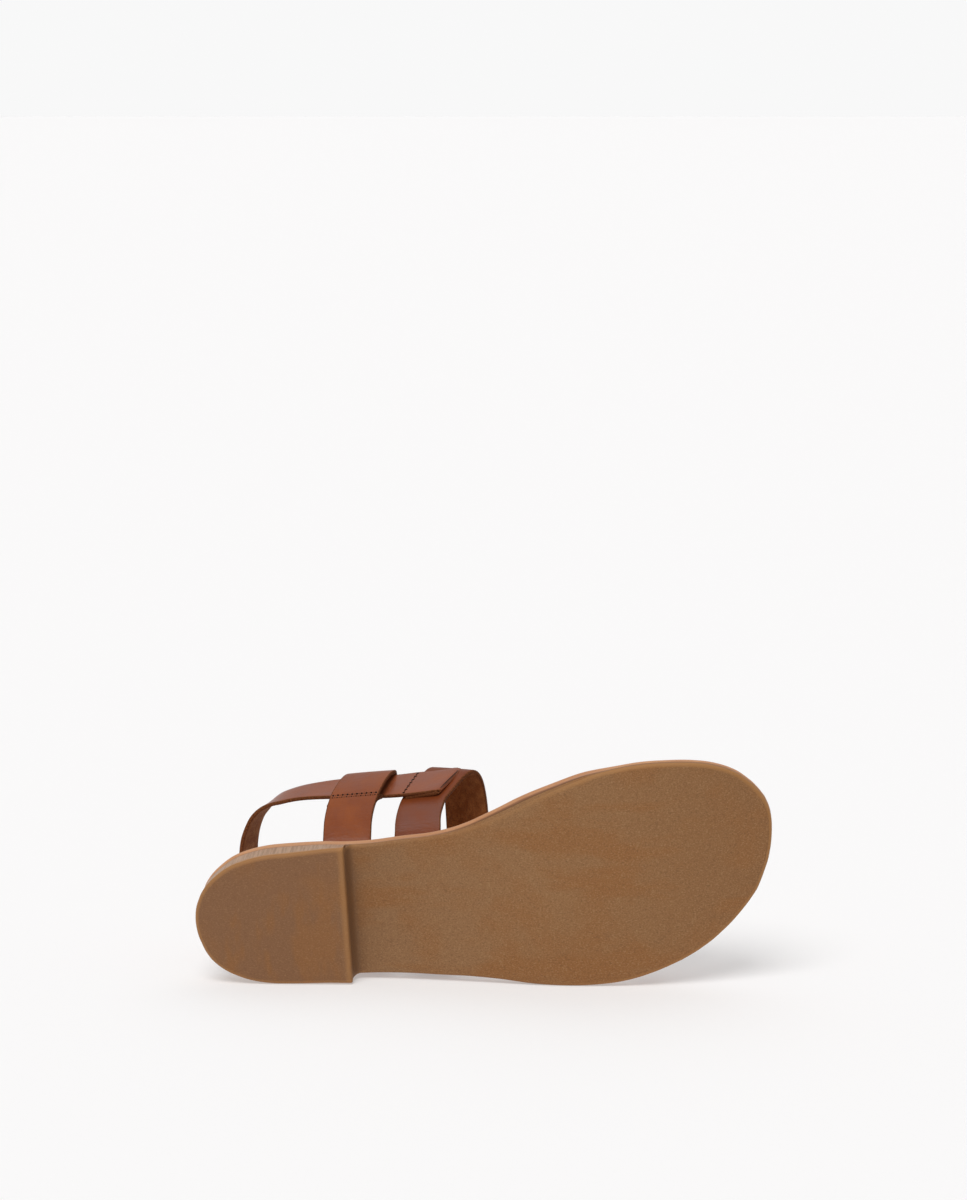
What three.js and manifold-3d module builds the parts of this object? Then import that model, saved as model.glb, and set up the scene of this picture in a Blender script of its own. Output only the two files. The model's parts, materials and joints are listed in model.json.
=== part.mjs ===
// Flat gladiator sandal for the left foot, lying on its outer side.
// Each piece is drawn in the frame of the shoe: x runs forward from the back of the heel, m runs
// towards the big-toe side and z runs up from the tread. At the end the whole shoe is laid down.
import * as THREE from 'three';
import { mergeVertices } from 'three/addons/utils/BufferGeometryUtils.js';
import Module from 'manifold-3d';

const wasm = await Module();
wasm.setup();

// ---- driving dimensions, millimetres ----
const SOLE_LENGTH = 249.4;
const SOLE_THICKNESS = 3;
const HEEL_LIFT = 11;
const BREAST_START = 65;
const BREAST_END = 68.4;
const BALL_BACK = 165;
const BALL_FRONT = 185;
const TOE_SPRING = 8;
const RIM_RADIUS = 1.5;
const FOOTBED_THICKNESS = 4.5;
const FOOTBED_EDGE_RADIUS = 1.7;
const GAP = 0.3;
const SLOT_GAP = 0.5;
const LEATHER = 1.9;
const ANKLE_LEATHER = 1.8;
const ANKLE_WIDTH = 18;
const QUARTER_WIDTH = 21;
const INSTEP_WIDTH = 20;
const BALL_STRAP_WIDTH = 20;
const TOE_STRAP_WIDTH = 18;
const BILLET_WIDTH = 16;
const BILLET_LEATHER = 1.4;
const BUCKLE_ROD = 1.3;
const BUCKLE_HALF_HEIGHT = 11.4;
const BUCKLE_LENGTH = 15.5;
const PRONG_ROD = 0.9;
const BUCKLE_CORNER = 2.6;
const PRONG_SLOT = 3;
const ROD_SIDES = 8;
const OUTLINE_STEPS = 56;
const STRAP_STEP = 2.6;
const NARROW_STRAP_STEP = 2.2;
const FRAME_STEPS = 44;
const PRONG_STEPS = 22;
const CUTTER_REACH = 10;

// The buckle's bar, and its directions: forward along the strap, across it and outwards.
const BUCKLE_BAR = at(91.8, -31.6, 55.6);
const BUCKLE_ALONG = at(0.953, -0.2, -0.226).normalize();
const BUCKLE_OUT = new THREE.Vector3().crossVectors(BUCKLE_ALONG, at(0.23, 0.05, 0.97)).negate().normalize();
const BUCKLE_UP = new THREE.Vector3().crossVectors(BUCKLE_OUT, BUCKLE_ALONG).normalize();

// Outline of the sole where the footbed sits on it: x, inner edge, outer edge.
const OUTLINE = [
  [0, -1, -1],
  [2, 8.4, -10.9],
  [5, 13.8, -17.2],
  [10, 18.7, -22.2],
  [16, 22.7, -25.7],
  [23, 25.2, -28.3],
  [31, 26.7, -29.8],
  [40, 27.2, -30.4],
  [55, 27.3, -31],
  [66, 26.7, -31.8],
  [77, 27, -32],
  [90, 28.5, -32.5],
  [103, 30, -33.3],
  [116, 33.5, -33.9],
  [129.5, 39.6, -35.2],
  [143, 46.2, -37.2],
  [156, 51.2, -38.3],
  [169, 55.4, -38.6],
  [182, 57.4, -37.6],
  [195, 58.9, -34.4],
  [208, 58.8, -29.5],
  [217, 58, -24.6],
  [226, 56, -18],
  [235, 51.9, -9.4],
  [242, 45.9, -0.6],
  [245.3, 41.5, 7],
  [247.9, 36.5, 15],
  [SOLE_LENGTH, 28, 28],
];

// How far the heel block spreads from its top to its tread: x, inner side, outer side.
const HEEL_FLARE = [
  [0, 0.9, 0.9],
  [6, 0.6, 1.1],
  [20, 0, 1.2],
  [40, 0, 1.1],
  [52, 0.7, 1],
  [BREAST_START, 2, 0.8],
];

// How far the inner edge of the waist's tread is drawn in under the footbed: x, distance.
const WAIST_TUCK = [
  [68, 0],
  [105, 0.3],
  [116, 1.2],
  [126, 2.4],
  [140, 3.2],
  [151, 2.4],
  [160, 2],
  [168, 1.8],
  [174, 0.9],
  [180, 0.2],
  [186, 0],
];

// How far the footbed stands out over the rubber along the inner edge: x, distance.
const SHELF = [
  [0, 0],
  [12, 0.5],
  [70, 0.5],
  [116, 0.8],
  [140, 1.4],
  [165, 1],
  [186, 0],
];

// Straps: middle of the smooth face (x, m, z), then the direction across the strap (wx, wm, wz).
const INNER_QUARTER = [
  [65, 23.1, 14.8, 1, 0, 0],
  [65, 23.1, 19.6, 1, 0, 0],
  [65.2, 27, 24, 1, 0.01, 0],
  [65.5, 32.2, 31, 1, 0.02, 0],
  [66.4, 36, 38, 1, 0.03, 0],
  [67.8, 39.2, 44.5, 1, 0.03, 0],
  [69.8, 41.7, 52, 1, 0.03, 0],
  [71.9, 43.2, 60, 1, 0.03, 0],
  [73.8, 43.3, 67, 1, 0.03, 0],
  [74.9, 42, 71.3, 1, 0.03, 0],
  [75.2, 39.2, 72.8, 1, 0.03, 0],
  [74.9, 36.4, 71.3, 1, 0.03, 0],
  [73.8, 34.8, 67, 1, 0.03, 0],
  [71.7, 34.3, 60, 1, 0.03, 0],
  [69.3, 34.7, 52, 1, 0.03, 0],
  [67.3, 35.5, 45, 1, 0.03, 0],
  [66.6, 34.8, 42, 1, 0.03, 0],
];
const OUTER_QUARTER = [
  [71.6, -29.2, 14.8, 1, -0.05, 0],
  [71.6, -29.2, 19.6, 1, -0.05, 0],
  [71.6, -32, 26, 1, -0.05, 0],
  [71.6, -34.6, 35, 1, -0.05, 0],
  [71.7, -37, 44.5, 1, -0.05, 0],
  [71.8, -38, 53, 1, -0.05, 0],
  [71.9, -38.2, 62, 1, -0.05, 0],
  [72, -38, 69, 1, -0.05, 0],
  [72, -36.6, 72, 1, -0.05, 0],
  [72, -34.3, 73.3, 1, -0.05, 0],
  [72, -31.9, 72, 1, -0.05, 0],
  [72, -30.4, 68, 1, -0.05, 0],
  [71.9, -30, 61, 1, -0.05, 0],
  [71.8, -30.8, 53, 1, -0.05, 0],
  [71.7, -32.3, 45, 1, -0.05, 0],
  [71.6, -31.5, 40.5, 1, -0.05, 0],
];
const INSTEP = [
  [96, 25.6, 13.4, 1, 0.02, 0],
  [96, 25.6, 17.6, 1, 0.02, 0],
  [96.1, 28.4, 24, 1, 0.02, 0],
  [95.9, 30.5, 34, 0.99, 0.06, -0.03],
  [96.6, 32.6, 42.5, 0.98, 0.04, -0.1],
  [98.3, 34.9, 52.5, 0.97, 0.02, -0.25],
  [103.2, 38.6, 61, 0.94, 0.01, -0.33],
  [106.7, 41, 66.2, 0.92, 0, -0.38],
  [110, 42.3, 70, 0.91, 0, -0.41],
  [112.6, 40.6, 73.4, 0.92, 0, -0.38],
  [114.5, 36, 76, 0.94, 0, -0.35],
  [115.5, 27, 78.7, 0.95, 0, -0.31],
  [115.7, 15, 80.2, 0.96, 0, -0.28],
  [115.3, 3, 79.8, 0.96, 0.01, -0.28],
  [114.2, -9, 76.9, 0.96, 0.02, -0.28],
  [112, -19.8, 70.9, 0.96, 0.03, -0.27],
  [109, -29, 61.8, 0.97, 0, -0.23],
  [106.2, -30.6, 53, 0.97, -0.02, -0.2],
  [103.8, -30.8, 44, 0.98, -0.02, -0.12],
  [101.4, -31.6, 34, 1, -0.04, -0.04],
  [100.2, -31.9, 25, 1, -0.05, 0],
  [99.6, -30.6, 17.6, 1, -0.05, 0],
  [99.6, -30.6, 13.4, 1, -0.05, 0],
];
const ANKLE = [
  [93.5, 35.8, 61, 0.36, 0.26, 0.89],
  [99, 36.6, 60.6, 0.42, 0.26, 0.87],
  [104, 37.3, 60.2, 0.47, 0.26, 0.84],
  [107.4, 37.8, 60, 0.49, 0.26, 0.83],
  [109.7, 38.4, 59.9, 0.5, 0.26, 0.83],
  [110.6, 39.4, 59.8, 0.5, 0.26, 0.83],
  [109.7, 40.3, 59.8, 0.5, 0.26, 0.83],
  [107.4, 40.6, 59.8, 0.49, 0.26, 0.83],
  [103.5, 40.2, 59.9, 0.46, 0.26, 0.85],
  [98, 39.7, 60.1, 0.41, 0.26, 0.87],
  [92, 39.3, 60.4, 0.36, 0.27, 0.89],
  [82.9, 38.8, 60.9, 0.3, 0.24, 0.92],
  [71.3, 38.6, 61.6, 0.22, 0.21, 0.95],
  [59.7, 38.4, 62.5, 0.16, 0.16, 0.97],
  [48.5, 37.7, 63.5, 0.09, 0.08, 0.99],
  [41.1, 36.7, 64.2, 0.03, 0.02, 1],
  [33.6, 34.7, 65, 0, -0.05, 1],
  [28.9, 32.6, 65.5, 0.02, -0.17, 0.98],
  [25.2, 29.9, 66, 0.11, -0.24, 0.96],
  [21.8, 26.4, 66.4, 0.19, -0.22, 0.96],
  [19, 21, 66.8, 0.24, -0.2, 0.95],
  [17.2, 15.4, 67, 0.28, -0.2, 0.94],
  [16.2, 9.4, 67, 0.3, -0.18, 0.93],
  [15.8, 2, 67, 0.3, -0.08, 0.94],
  [16.6, -7, 66.9, 0.28, 0.08, 0.95],
  [20.2, -16.6, 66.5, 0.22, 0.14, 0.96],
  [28.4, -24.9, 65.7, 0.14, 0.08, 0.98],
  [40, -30, 64.6, 0.09, 0.02, 0.99],
  [52, -32.8, 63.3, 0.08, -0.05, 0.99],
  [63, -33.6, 61.8, 0.12, -0.03, 0.99],
  [74, -34, 59.7, 0.18, -0.03, 0.98],
  [84, -34.7, 57.4, 0.22, -0.01, 0.97],
  [91.4, -35.2, 55.7, 0.23, 0.02, 0.97],
  [94.5, -34.1, 55.1, 0.23, 0.02, 0.97],
  [95.6, -31.6, 54.8, 0.23, 0.02, 0.97],
  [94.5, -29.1, 55.1, 0.23, 0.02, 0.97],
  [91.4, -28, 55.7, 0.23, 0.02, 0.97],
  [83.4, -30.6, 57.5, 0.22, -0.03, 0.97],
];
const BILLET = [
  [100, -26.6, 54.2, 0.22, 0.07, 0.97],
  [105, -26.5, 53.2, 0.22, 0.07, 0.97],
  [111, -26.3, 52, 0.22, 0.07, 0.97],
  [116.6, -26.2, 50.9, 0.22, 0.07, 0.97],
  [119.8, -27.4, 50.3, 0.22, 0.07, 0.97],
  [120.8, -29.9, 50.1, 0.22, 0.08, 0.97],
  [119.6, -32.2, 50.3, 0.22, 0.08, 0.97],
  [116, -33, 51, 0.22, 0.08, 0.97],
  [110, -33, 52.2, 0.22, 0.07, 0.97],
  [104.5, -33.6, 53.3, 0.22, 0.04, 0.97],
  [100.6, -35.3, 54, 0.22, 0, 0.97],
  [96.6, -36.9, 54.8, 0.22, -0.03, 0.97],
  [91.5, -37.2, 55.8, 0.22, -0.03, 0.97],
  [84, -36.45, 57.4, 0.22, -0.02, 0.97],
  [74, -35.65, 59.6, 0.18, -0.04, 0.98],
  [65, -35.3, 61.4, 0.13, -0.03, 0.99],
];
const BALL_STRAP = [
  [175, 52.1, 3.7, 0.96, 0.29, 0],
  [175, 52.1, 8.6, 0.96, 0.29, 0],
  [174.7, 51.6, 15, 0.96, 0.26, -0.04],
  [173.2, 48.4, 25, 0.96, 0.18, -0.14],
  [170, 41.5, 36, 0.95, 0.05, -0.24],
  [166.5, 31, 46, 0.94, -0.08, -0.3],
  [163, 17, 52.5, 0.93, -0.14, -0.32],
  [160, 2, 54, 0.93, -0.14, -0.32],
  [158, -13, 49.5, 0.94, -0.1, -0.3],
  [157, -25, 40, 0.96, -0.06, -0.22],
  [157, -32.5, 28, 0.98, -0.05, -0.12],
  [157.5, -35.9, 17, 1, -0.05, -0.04],
  [158, -35.4, 9, 1, -0.06, 0],
  [158, -35.4, 4.5, 1, -0.06, 0],
];
const TOE_STRAP = [
  [209, 56.6, 5.7, 1, -0.03, 0],
  [209, 56.6, 10, 1, -0.03, 0],
  [208.8, 55.2, 16, 1, -0.04, -0.03],
  [208, 50.5, 25, 0.98, -0.08, -0.16],
  [206.5, 41.5, 33.5, 0.95, -0.12, -0.28],
  [204.5, 29, 39, 0.93, -0.13, -0.34],
  [202.3, 15, 41, 0.92, -0.13, -0.36],
  [200, 0, 39, 0.93, -0.1, -0.34],
  [198, -13, 34, 0.94, 0, -0.28],
  [196.6, -24, 26.5, 0.96, 0.14, -0.18],
  [196, -30.3, 17, 0.96, 0.25, -0.06],
  [196, -31.2, 9, 0.96, 0.29, 0],
  [196, -31.2, 4.6, 0.96, 0.29, 0],
];

// Where the heel edge, the ball edge and the outer quarter strap touch the floor: x, m, z.
const HEEL_CONTACT = [38, -31.4, 1.5];
const BALL_CONTACT = [164, -38.6, 1.5];
const STRAP_CONTACT = [62, -37.55, 56];

// ---- colours ----
const RUBBER = new THREE.MeshStandardMaterial({ color: 0x966a44, roughness: 0.62, metalness: 0 });
const WRAP = new THREE.MeshStandardMaterial({ color: 0xc68f62, roughness: 0.55, metalness: 0 });
const STRAP_LEATHER = new THREE.MeshStandardMaterial({ color: 0x8f4f33, roughness: 0.42, metalness: 0 });
const BRONZE = new THREE.MeshStandardMaterial({ color: 0x4a4238, roughness: 0.4, metalness: 0.9 });

// ---- small helpers ----

// A point of the shoe, given as forward, towards the big toe and up.
function at(x, m, z) {
  return new THREE.Vector3(x, -m, z);
}

function clamp01(value) {
  return Math.min(1, Math.max(0, value));
}

// A point in the buckle's own directions.
function onBuckle(along, up, out) {
  return BUCKLE_BAR.clone()
    .addScaledVector(BUCKLE_ALONG, along)
    .addScaledVector(BUCKLE_UP, up)
    .addScaledVector(BUCKLE_OUT, out);
}

// Straight-line look-up of one column in a table whose first column rises.
function lookUp(table, x, column) {
  let row = 0;
  while (row < table.length - 2 && x > table[row + 1][0]) row += 1;
  const part = clamp01((x - table[row][0]) / (table[row + 1][0] - table[row][0]));
  return table[row][column] + part * (table[row + 1][column] - table[row][column]);
}

// Smooth look-up through four neighbouring values.
function cubic(before, from, to, after, part) {
  const a = 2 * from;
  const b = to - before;
  const c = 2 * before - 5 * from + 4 * to - after;
  const d = -before + 3 * from - 3 * to + after;
  return 0.5 * (a + b * part + c * part * part + d * part ** 3);
}

// Angle that runs evenly round the ends of the sole, from 0 at the heel to PI at the toe.
function angleOf(x) {
  return Math.acos(1 - 2 * clamp01(x / SOLE_LENGTH));
}

// Half outline at an angle: column 1 is the inner edge, column 2 the outer edge.
function edgeAt(angle, column) {
  const last = OUTLINE.length - 1;
  let row = 0;
  while (row < last - 1 && angle > angleOf(OUTLINE[row + 1][0])) row += 1;
  const start = angleOf(OUTLINE[row][0]);
  const part = clamp01((angle - start) / (angleOf(OUTLINE[row + 1][0]) - start));
  const other = 3 - column;
  const before = row === 0 ? OUTLINE[1][other] : OUTLINE[row - 1][column];
  const after = row === last - 1 ? OUTLINE[last - 1][other] : OUTLINE[row + 2][column];
  return cubic(before, OUTLINE[row][column], OUTLINE[row + 1][column], after, part);
}

// Height of the underside of the waist and forepart above the floor plane.
function shankHeight(x) {
  if (x <= BREAST_END) return HEEL_LIFT;
  if (x < BALL_BACK) {
    const q = (x - BREAST_END) / (BALL_BACK - BREAST_END);
    return HEEL_LIFT * (1 - q) ** 2 * (1 + 2 * q);
  }
  if (x <= BALL_FRONT) return 0;
  return TOE_SPRING * ((x - BALL_FRONT) / (SOLE_LENGTH - BALL_FRONT)) ** 2;
}

// Height of the tread, with the heel block and its hollowed breast.
function treadHeight(x) {
  if (x <= BREAST_START) return 0;
  if (x >= BREAST_END) return shankHeight(x);
  const q = (x - BREAST_START) / (BREAST_END - BREAST_START);
  return HEEL_LIFT * Math.sqrt(1 - (1 - q) ** 2);
}

// Stations along the sole: even steps in angle, with more of them in the breast.
function stations() {
  const list = [];
  for (let i = 0; i <= OUTLINE_STEPS; i += 1) {
    list.push((SOLE_LENGTH / 2) * (1 - Math.cos((Math.PI * i) / OUTLINE_STEPS)));
  }
  const kept = list.filter((x) => x < BREAST_START - 2 || x > BREAST_END + 2);
  for (const part of [-0.35, 0, 0.03, 0.12, 0.3, 0.6, 1, 1.4]) {
    kept.push(BREAST_START + part * (BREAST_END - BREAST_START));
  }
  return kept.sort((a, b) => a - b);
}

// The outline as one loop: out along the inner edge, back along the outer edge.
function outlineLoop() {
  const xs = stations();
  const inner = xs.map((x) => ({ x, m: edgeAt(angleOf(x), 1), side: 1 }));
  const outer = xs.slice(1, -1).reverse().map((x) => ({ x, m: edgeAt(angleOf(x), 2), side: 2 }));
  const loop = inner.concat(outer);
  loop.forEach((point, i) => {
    const before = loop[(i + loop.length - 1) % loop.length];
    const after = loop[(i + 1) % loop.length];
    const dx = after.x - before.x;
    const dm = after.m - before.m;
    const length = Math.hypot(dx, dm);
    point.nx = -dm / length;
    point.nm = dx / length;
  });
  return loop;
}

// One ring of the loop moved outwards by spread(point) at the height rise(point).
function ring(loop, spread, rise) {
  return loop.map((p) => at(p.x + p.nx * spread(p), p.m + p.nm * spread(p), rise(p)));
}

function geometryFrom(points, triangles) {
  const geometry = new THREE.BufferGeometry();
  const flat = points.flatMap((p) => [p.x, p.y, p.z]);
  geometry.setAttribute('position', new THREE.Float32BufferAttribute(flat, 3));
  geometry.setIndex(triangles.flat());
  return geometry;
}

// Walls between rings of equal count; each ring is then closed by cap(ring length).
function loft(rings, cap) {
  const count = rings[0].length;
  const triangles = [];
  for (let k = 0; k < rings.length - 1; k += 1) {
    for (let i = 0; i < count; i += 1) {
      const a = k * count + i;
      const b = k * count + ((i + 1) % count);
      triangles.push([a, b, b + count], [a, b + count, a + count]);
    }
  }
  const top = (rings.length - 1) * count;
  for (const [a, b, c] of cap(count)) triangles.push([a, c, b], [a + top, b + top, c + top]);
  return geometryFrom(rings.flat(), triangles);
}

// Cap of an outline loop: rungs from the inner edge to the outer edge.
function ladderCap(count) {
  const half = count / 2;
  const triangles = [[0, 1, count - 1]];
  for (let i = 1; i < half - 1; i += 1) {
    triangles.push([i, i + 1, count - i], [i + 1, count - i - 1, count - i]);
  }
  triangles.push([half - 1, half, half + 1]);
  return triangles;
}

function fanCap(count) {
  return Array.from({ length: count - 2 }, (_, i) => [0, i + 1, i + 2]);
}

function toSolid(geometry) {
  const bare = geometry.clone();
  bare.deleteAttribute('normal');
  bare.deleteAttribute('uv');
  const merged = mergeVertices(bare, 1e-4);
  const triVerts = new Uint32Array(merged.index.array);
  const vertProperties = new Float32Array(merged.attributes.position.array);
  return new wasm.Manifold(new wasm.Mesh({ numProp: 3, vertProperties, triVerts }));
}

function fromSolid(solid) {
  const mesh = solid.getMesh();
  const geometry = new THREE.BufferGeometry();
  geometry.setAttribute('position', new THREE.BufferAttribute(mesh.vertProperties, 3));
  geometry.setIndex(new THREE.BufferAttribute(mesh.triVerts, 1));
  return geometry;
}

function piece(name, geometry, material) {
  geometry.computeVertexNormals();
  const mesh = new THREE.Mesh(geometry, material);
  mesh.name = name;
  return mesh;
}

// ---- straps ----

// Flat strap swept through a table's rows. Its smooth face runs through the rows and its
// thickness lies on the side given by turned (1 or -1).
function strap(rows, width, thickness, turned, step = STRAP_STEP) {
  const curve = new THREE.CatmullRomCurve3(rows.map(([x, m, z]) => at(x, m, z)), false, 'centripetal');
  const ways = rows.map((row) => at(row[3], row[4], row[5]));
  const across = new THREE.CatmullRomCurve3(ways, false, 'centripetal');
  const sections = Math.round(curve.getLength() / step);
  const rings = [];
  for (let i = 0; i <= sections; i += 1) {
    const t = curve.getUtoTmapping(i / sections);
    const middle = curve.getPoint(t);
    const along = curve.getTangent(t);
    const side = across.getPoint(t).normalize();
    const inward = new THREE.Vector3().crossVectors(along, side).multiplyScalar(turned).normalize();
    const slant = new THREE.Vector3().crossVectors(along, side).length();
    const half = side.clone().multiplyScalar((0.5 * width) / slant);
    const back = middle.clone().addScaledVector(inward, thickness);
    const edges = [middle, back].map((centre) => [centre.clone().sub(half), centre.clone().add(half)]);
    rings.push([edges[0][0], edges[0][1], edges[1][1], edges[1][0]]);
  }
  if (turned < 0) rings.forEach((section) => section.reverse());
  return toSolid(loft(rings, fanCap));
}

// Upright slot in the footbed for the foot of a strap, a little larger than the leather.
function slot([x, m, z, wx, wm], width, thickness, inwardSide) {
  const box = new THREE.BoxGeometry(width + 2 * SLOT_GAP, thickness + 2 * SLOT_GAP, 3 * FOOTBED_THICKNESS);
  box.rotateZ(Math.atan2(-wm, wx));
  const centre = at(x, m - inwardSide * 0.5 * thickness, z + 0.5 * FOOTBED_THICKNESS);
  box.translate(centre.x, centre.y, centre.z);
  return toSolid(box);
}

// ---- pieces ----

function soleUnit() {
  const loop = outlineLoop();
  const flare = (p) => {
    if (p.x <= BREAST_START + 0.01) return lookUp(HEEL_FLARE, p.x, p.side);
    return p.side === 1 ? -lookUp(WAIST_TUCK, p.x, 1) : 0;
  };
  const shelf = (p) => (p.side === 1 ? -lookUp(SHELF, p.x, 1) : 0);
  const top = (p) => shankHeight(p.x) + SOLE_THICKNESS;
  const low = (p) => treadHeight(p.x);
  const rings = [
    ring(loop, (p) => flare(p) - RIM_RADIUS, low),
    ring(loop, (p) => flare(p) - 0.3 * RIM_RADIUS, (p) => low(p) + 0.3 * RIM_RADIUS),
    ring(loop, flare, (p) => low(p) + RIM_RADIUS),
    ring(loop, shelf, top),
  ];
  return piece('sole_unit', turnOut(loft(rings, ladderCap)), RUBBER);
}

// Turns the faces of a loft outwards when its loop runs the other way round.
function turnOut(geometry) {
  const solidVolume = signedVolume(geometry);
  if (solidVolume > 0) return geometry;
  const index = geometry.index.array;
  for (let i = 0; i < index.length; i += 3) [index[i], index[i + 1]] = [index[i + 1], index[i]];
  return geometry;
}

function signedVolume(geometry) {
  const position = geometry.attributes.position;
  const index = geometry.index.array;
  const [a, b, c] = [new THREE.Vector3(), new THREE.Vector3(), new THREE.Vector3()];
  let sum = 0;
  for (let i = 0; i < index.length; i += 3) {
    a.fromBufferAttribute(position, index[i]);
    b.fromBufferAttribute(position, index[i + 1]);
    c.fromBufferAttribute(position, index[i + 2]);
    sum += a.dot(b.cross(c)) / 6;
  }
  return sum;
}

function footbed() {
  const loop = outlineLoop();
  const base = (p) => shankHeight(p.x) + SOLE_THICKNESS + GAP;
  const radius = FOOTBED_EDGE_RADIUS;
  const profile = [
    [-radius, 0],
    [-0.3 * radius, 0.3 * radius],
    [0, radius],
    [0, FOOTBED_THICKNESS - radius],
    [-0.3 * radius, FOOTBED_THICKNESS - 0.3 * radius],
    [-radius, FOOTBED_THICKNESS],
  ];
  const rings = profile.map(([spread, rise]) => ring(loop, () => spread, (p) => base(p) + rise));
  let solid = toSolid(turnOut(loft(rings, ladderCap)));
  const feet = [
    [INNER_QUARTER[0], QUARTER_WIDTH, LEATHER, 1],
    [OUTER_QUARTER[0], QUARTER_WIDTH, LEATHER, -1],
    [INSTEP[0], INSTEP_WIDTH, LEATHER, 1],
    [INSTEP.at(-1), INSTEP_WIDTH, LEATHER, -1],
    [BALL_STRAP[0], BALL_STRAP_WIDTH, LEATHER, 1],
    [BALL_STRAP.at(-1), BALL_STRAP_WIDTH, LEATHER, -1],
    [TOE_STRAP[0], TOE_STRAP_WIDTH, LEATHER, 1],
    [TOE_STRAP.at(-1), TOE_STRAP_WIDTH, LEATHER, -1],
  ];
  for (const foot of feet) solid = solid.subtract(slot(...foot));
  return piece('footbed', fromSolid(solid), WRAP);
}

// Round rod along a run of points; a closed run joins its end to its start.
function rod(points, radius, closed, steps) {
  const path = new THREE.CatmullRomCurve3(points, closed, 'centripetal');
  const frames = path.computeFrenetFrames(steps, closed);
  const rings = [];
  for (let i = 0; i <= steps; i += 1) {
    const centre = path.getPointAt(closed && i === steps ? 0 : i / steps);
    const k = closed && i === steps ? 0 : i;
    rings.push(
      Array.from({ length: ROD_SIDES }, (_, n) => {
        const angle = (2 * Math.PI * n) / ROD_SIDES;
        return centre
          .clone()
          .addScaledVector(frames.normals[k], radius * Math.cos(angle))
          .addScaledVector(frames.binormals[k], radius * Math.sin(angle));
      }),
    );
  }
  return toSolid(turnOut(loft(rings, closed ? () => [] : fanCap)));
}

// The slot in the fold of leather round the bar, where the prong swings.
function prongSlot() {
  const box = new THREE.BoxGeometry(CUTTER_REACH, PRONG_SLOT, CUTTER_REACH);
  box.applyMatrix4(new THREE.Matrix4().makeBasis(BUCKLE_ALONG, BUCKLE_UP, BUCKLE_OUT));
  const centre = onBuckle(0.5, 0, 0);
  box.translate(centre.x, centre.y, centre.z);
  return toSolid(box);
}

// Prong: round the bar and forward over the front rod of the frame.
function prongRod(radius) {
  const turn = BUCKLE_ROD + GAP + PRONG_ROD;
  const points = [];
  for (const degrees of [-60, -100, -140, -180, -220, -262]) {
    const angle = (degrees * Math.PI) / 180;
    points.push(onBuckle(turn * Math.cos(angle), 0, turn * Math.sin(angle)));
  }
  for (const along of [3, 7, 11, BUCKLE_LENGTH + 1.6]) points.push(onBuckle(along, 0, turn));
  return rod(points, radius, false, PRONG_STEPS);
}

// The frame of the buckle: a rectangle of rod with rounded corners, its bar at the back.
function buckleFrame() {
  const turns = [[0, -1, 180], [1, -1, 270], [1, 1, 0], [0, 1, 90]];
  const corners = turns.map(([front, upSign, start]) => {
    const along = front ? BUCKLE_LENGTH - BUCKLE_CORNER : BUCKLE_CORNER;
    const up = upSign * (BUCKLE_HALF_HEIGHT - BUCKLE_CORNER);
    return [0, 30, 60, 90].map((degrees) => {
      const angle = ((start + degrees) * Math.PI) / 180;
      return onBuckle(along + BUCKLE_CORNER * Math.cos(angle), up + BUCKLE_CORNER * Math.sin(angle), 0);
    });
  });
  const points = [];
  corners.forEach((corner, k) => {
    const last = corner.at(-1);
    const next = corners[(k + 1) % corners.length][0];
    points.push(...corner, last.clone().lerp(next, 0.33), last.clone().lerp(next, 0.67));
  });
  return piece('buckle_frame', fromSolid(rod(points, BUCKLE_ROD, true, FRAME_STEPS)), BRONZE);
}

function buckleProng() {
  return piece('buckle_prong', fromSolid(prongRod(PRONG_ROD)), BRONZE);
}

function upper() {
  const solid = strap(ANKLE, ANKLE_WIDTH, ANKLE_LEATHER, 1, NARROW_STRAP_STEP)
    .subtract(prongSlot())
    .add(strap(INNER_QUARTER, QUARTER_WIDTH, LEATHER, 1))
    .add(strap(OUTER_QUARTER, QUARTER_WIDTH, LEATHER, -1))
    .add(strap(INSTEP, INSTEP_WIDTH, LEATHER, 1));
  return piece('upper', fromSolid(solid), STRAP_LEATHER);
}

function billet() {
  const band = strap(BILLET, BILLET_WIDTH, BILLET_LEATHER, -1, NARROW_STRAP_STEP);
  return piece('billet', fromSolid(band.subtract(prongRod(PRONG_ROD + GAP))), STRAP_LEATHER);
}

function crossStrap(name, rows, width) {
  return piece(name, fromSolid(strap(rows, width, LEATHER, 1)), STRAP_LEATHER);
}

// Turn that lays the shoe on its outer side: the three contact points go to the floor, and the
// line from the heel edge to the ball edge runs along +X.
function layDown() {
  const [heel, ball, side] = [HEEL_CONTACT, BALL_CONTACT, STRAP_CONTACT].map((row) => at(...row));
  const along = ball.clone().sub(heel).normalize();
  const up = new THREE.Vector3().crossVectors(along, side.clone().sub(heel)).normalize();
  const away = new THREE.Vector3().crossVectors(up, along);
  return new THREE.Matrix4().makeBasis(along, away, up).transpose();
}

const shoe = new THREE.Group();
shoe.add(soleUnit(), footbed(), upper(), billet(), buckleFrame(), buckleProng());
shoe.add(crossStrap('ball_strap', BALL_STRAP, BALL_STRAP_WIDTH));
shoe.add(crossStrap('toe_strap', TOE_STRAP, TOE_STRAP_WIDTH));
shoe.applyMatrix4(layDown());
shoe.updateMatrixWorld(true);

const reach = new THREE.Box3().setFromObject(shoe, true);
const sandal = new THREE.Group();
sandal.position.set(-0.5 * (reach.min.x + reach.max.x), -0.5 * (reach.min.y + reach.max.y), -reach.min.z);
sandal.add(shoe);
export default sandal;
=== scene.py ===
"""Left gladiator sandal of cognac leather, lying on its outer side.

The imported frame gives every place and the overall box. Sizes are millimetres in the frame of the
shoe: x runs forward from the back of the heel, m towards the big-toe side and z up from the tread.
"""

import sys

import json
import logging
import math
from dataclasses import dataclass, field
from enum import Enum
from typing import Callable, Iterable, Sequence

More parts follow.
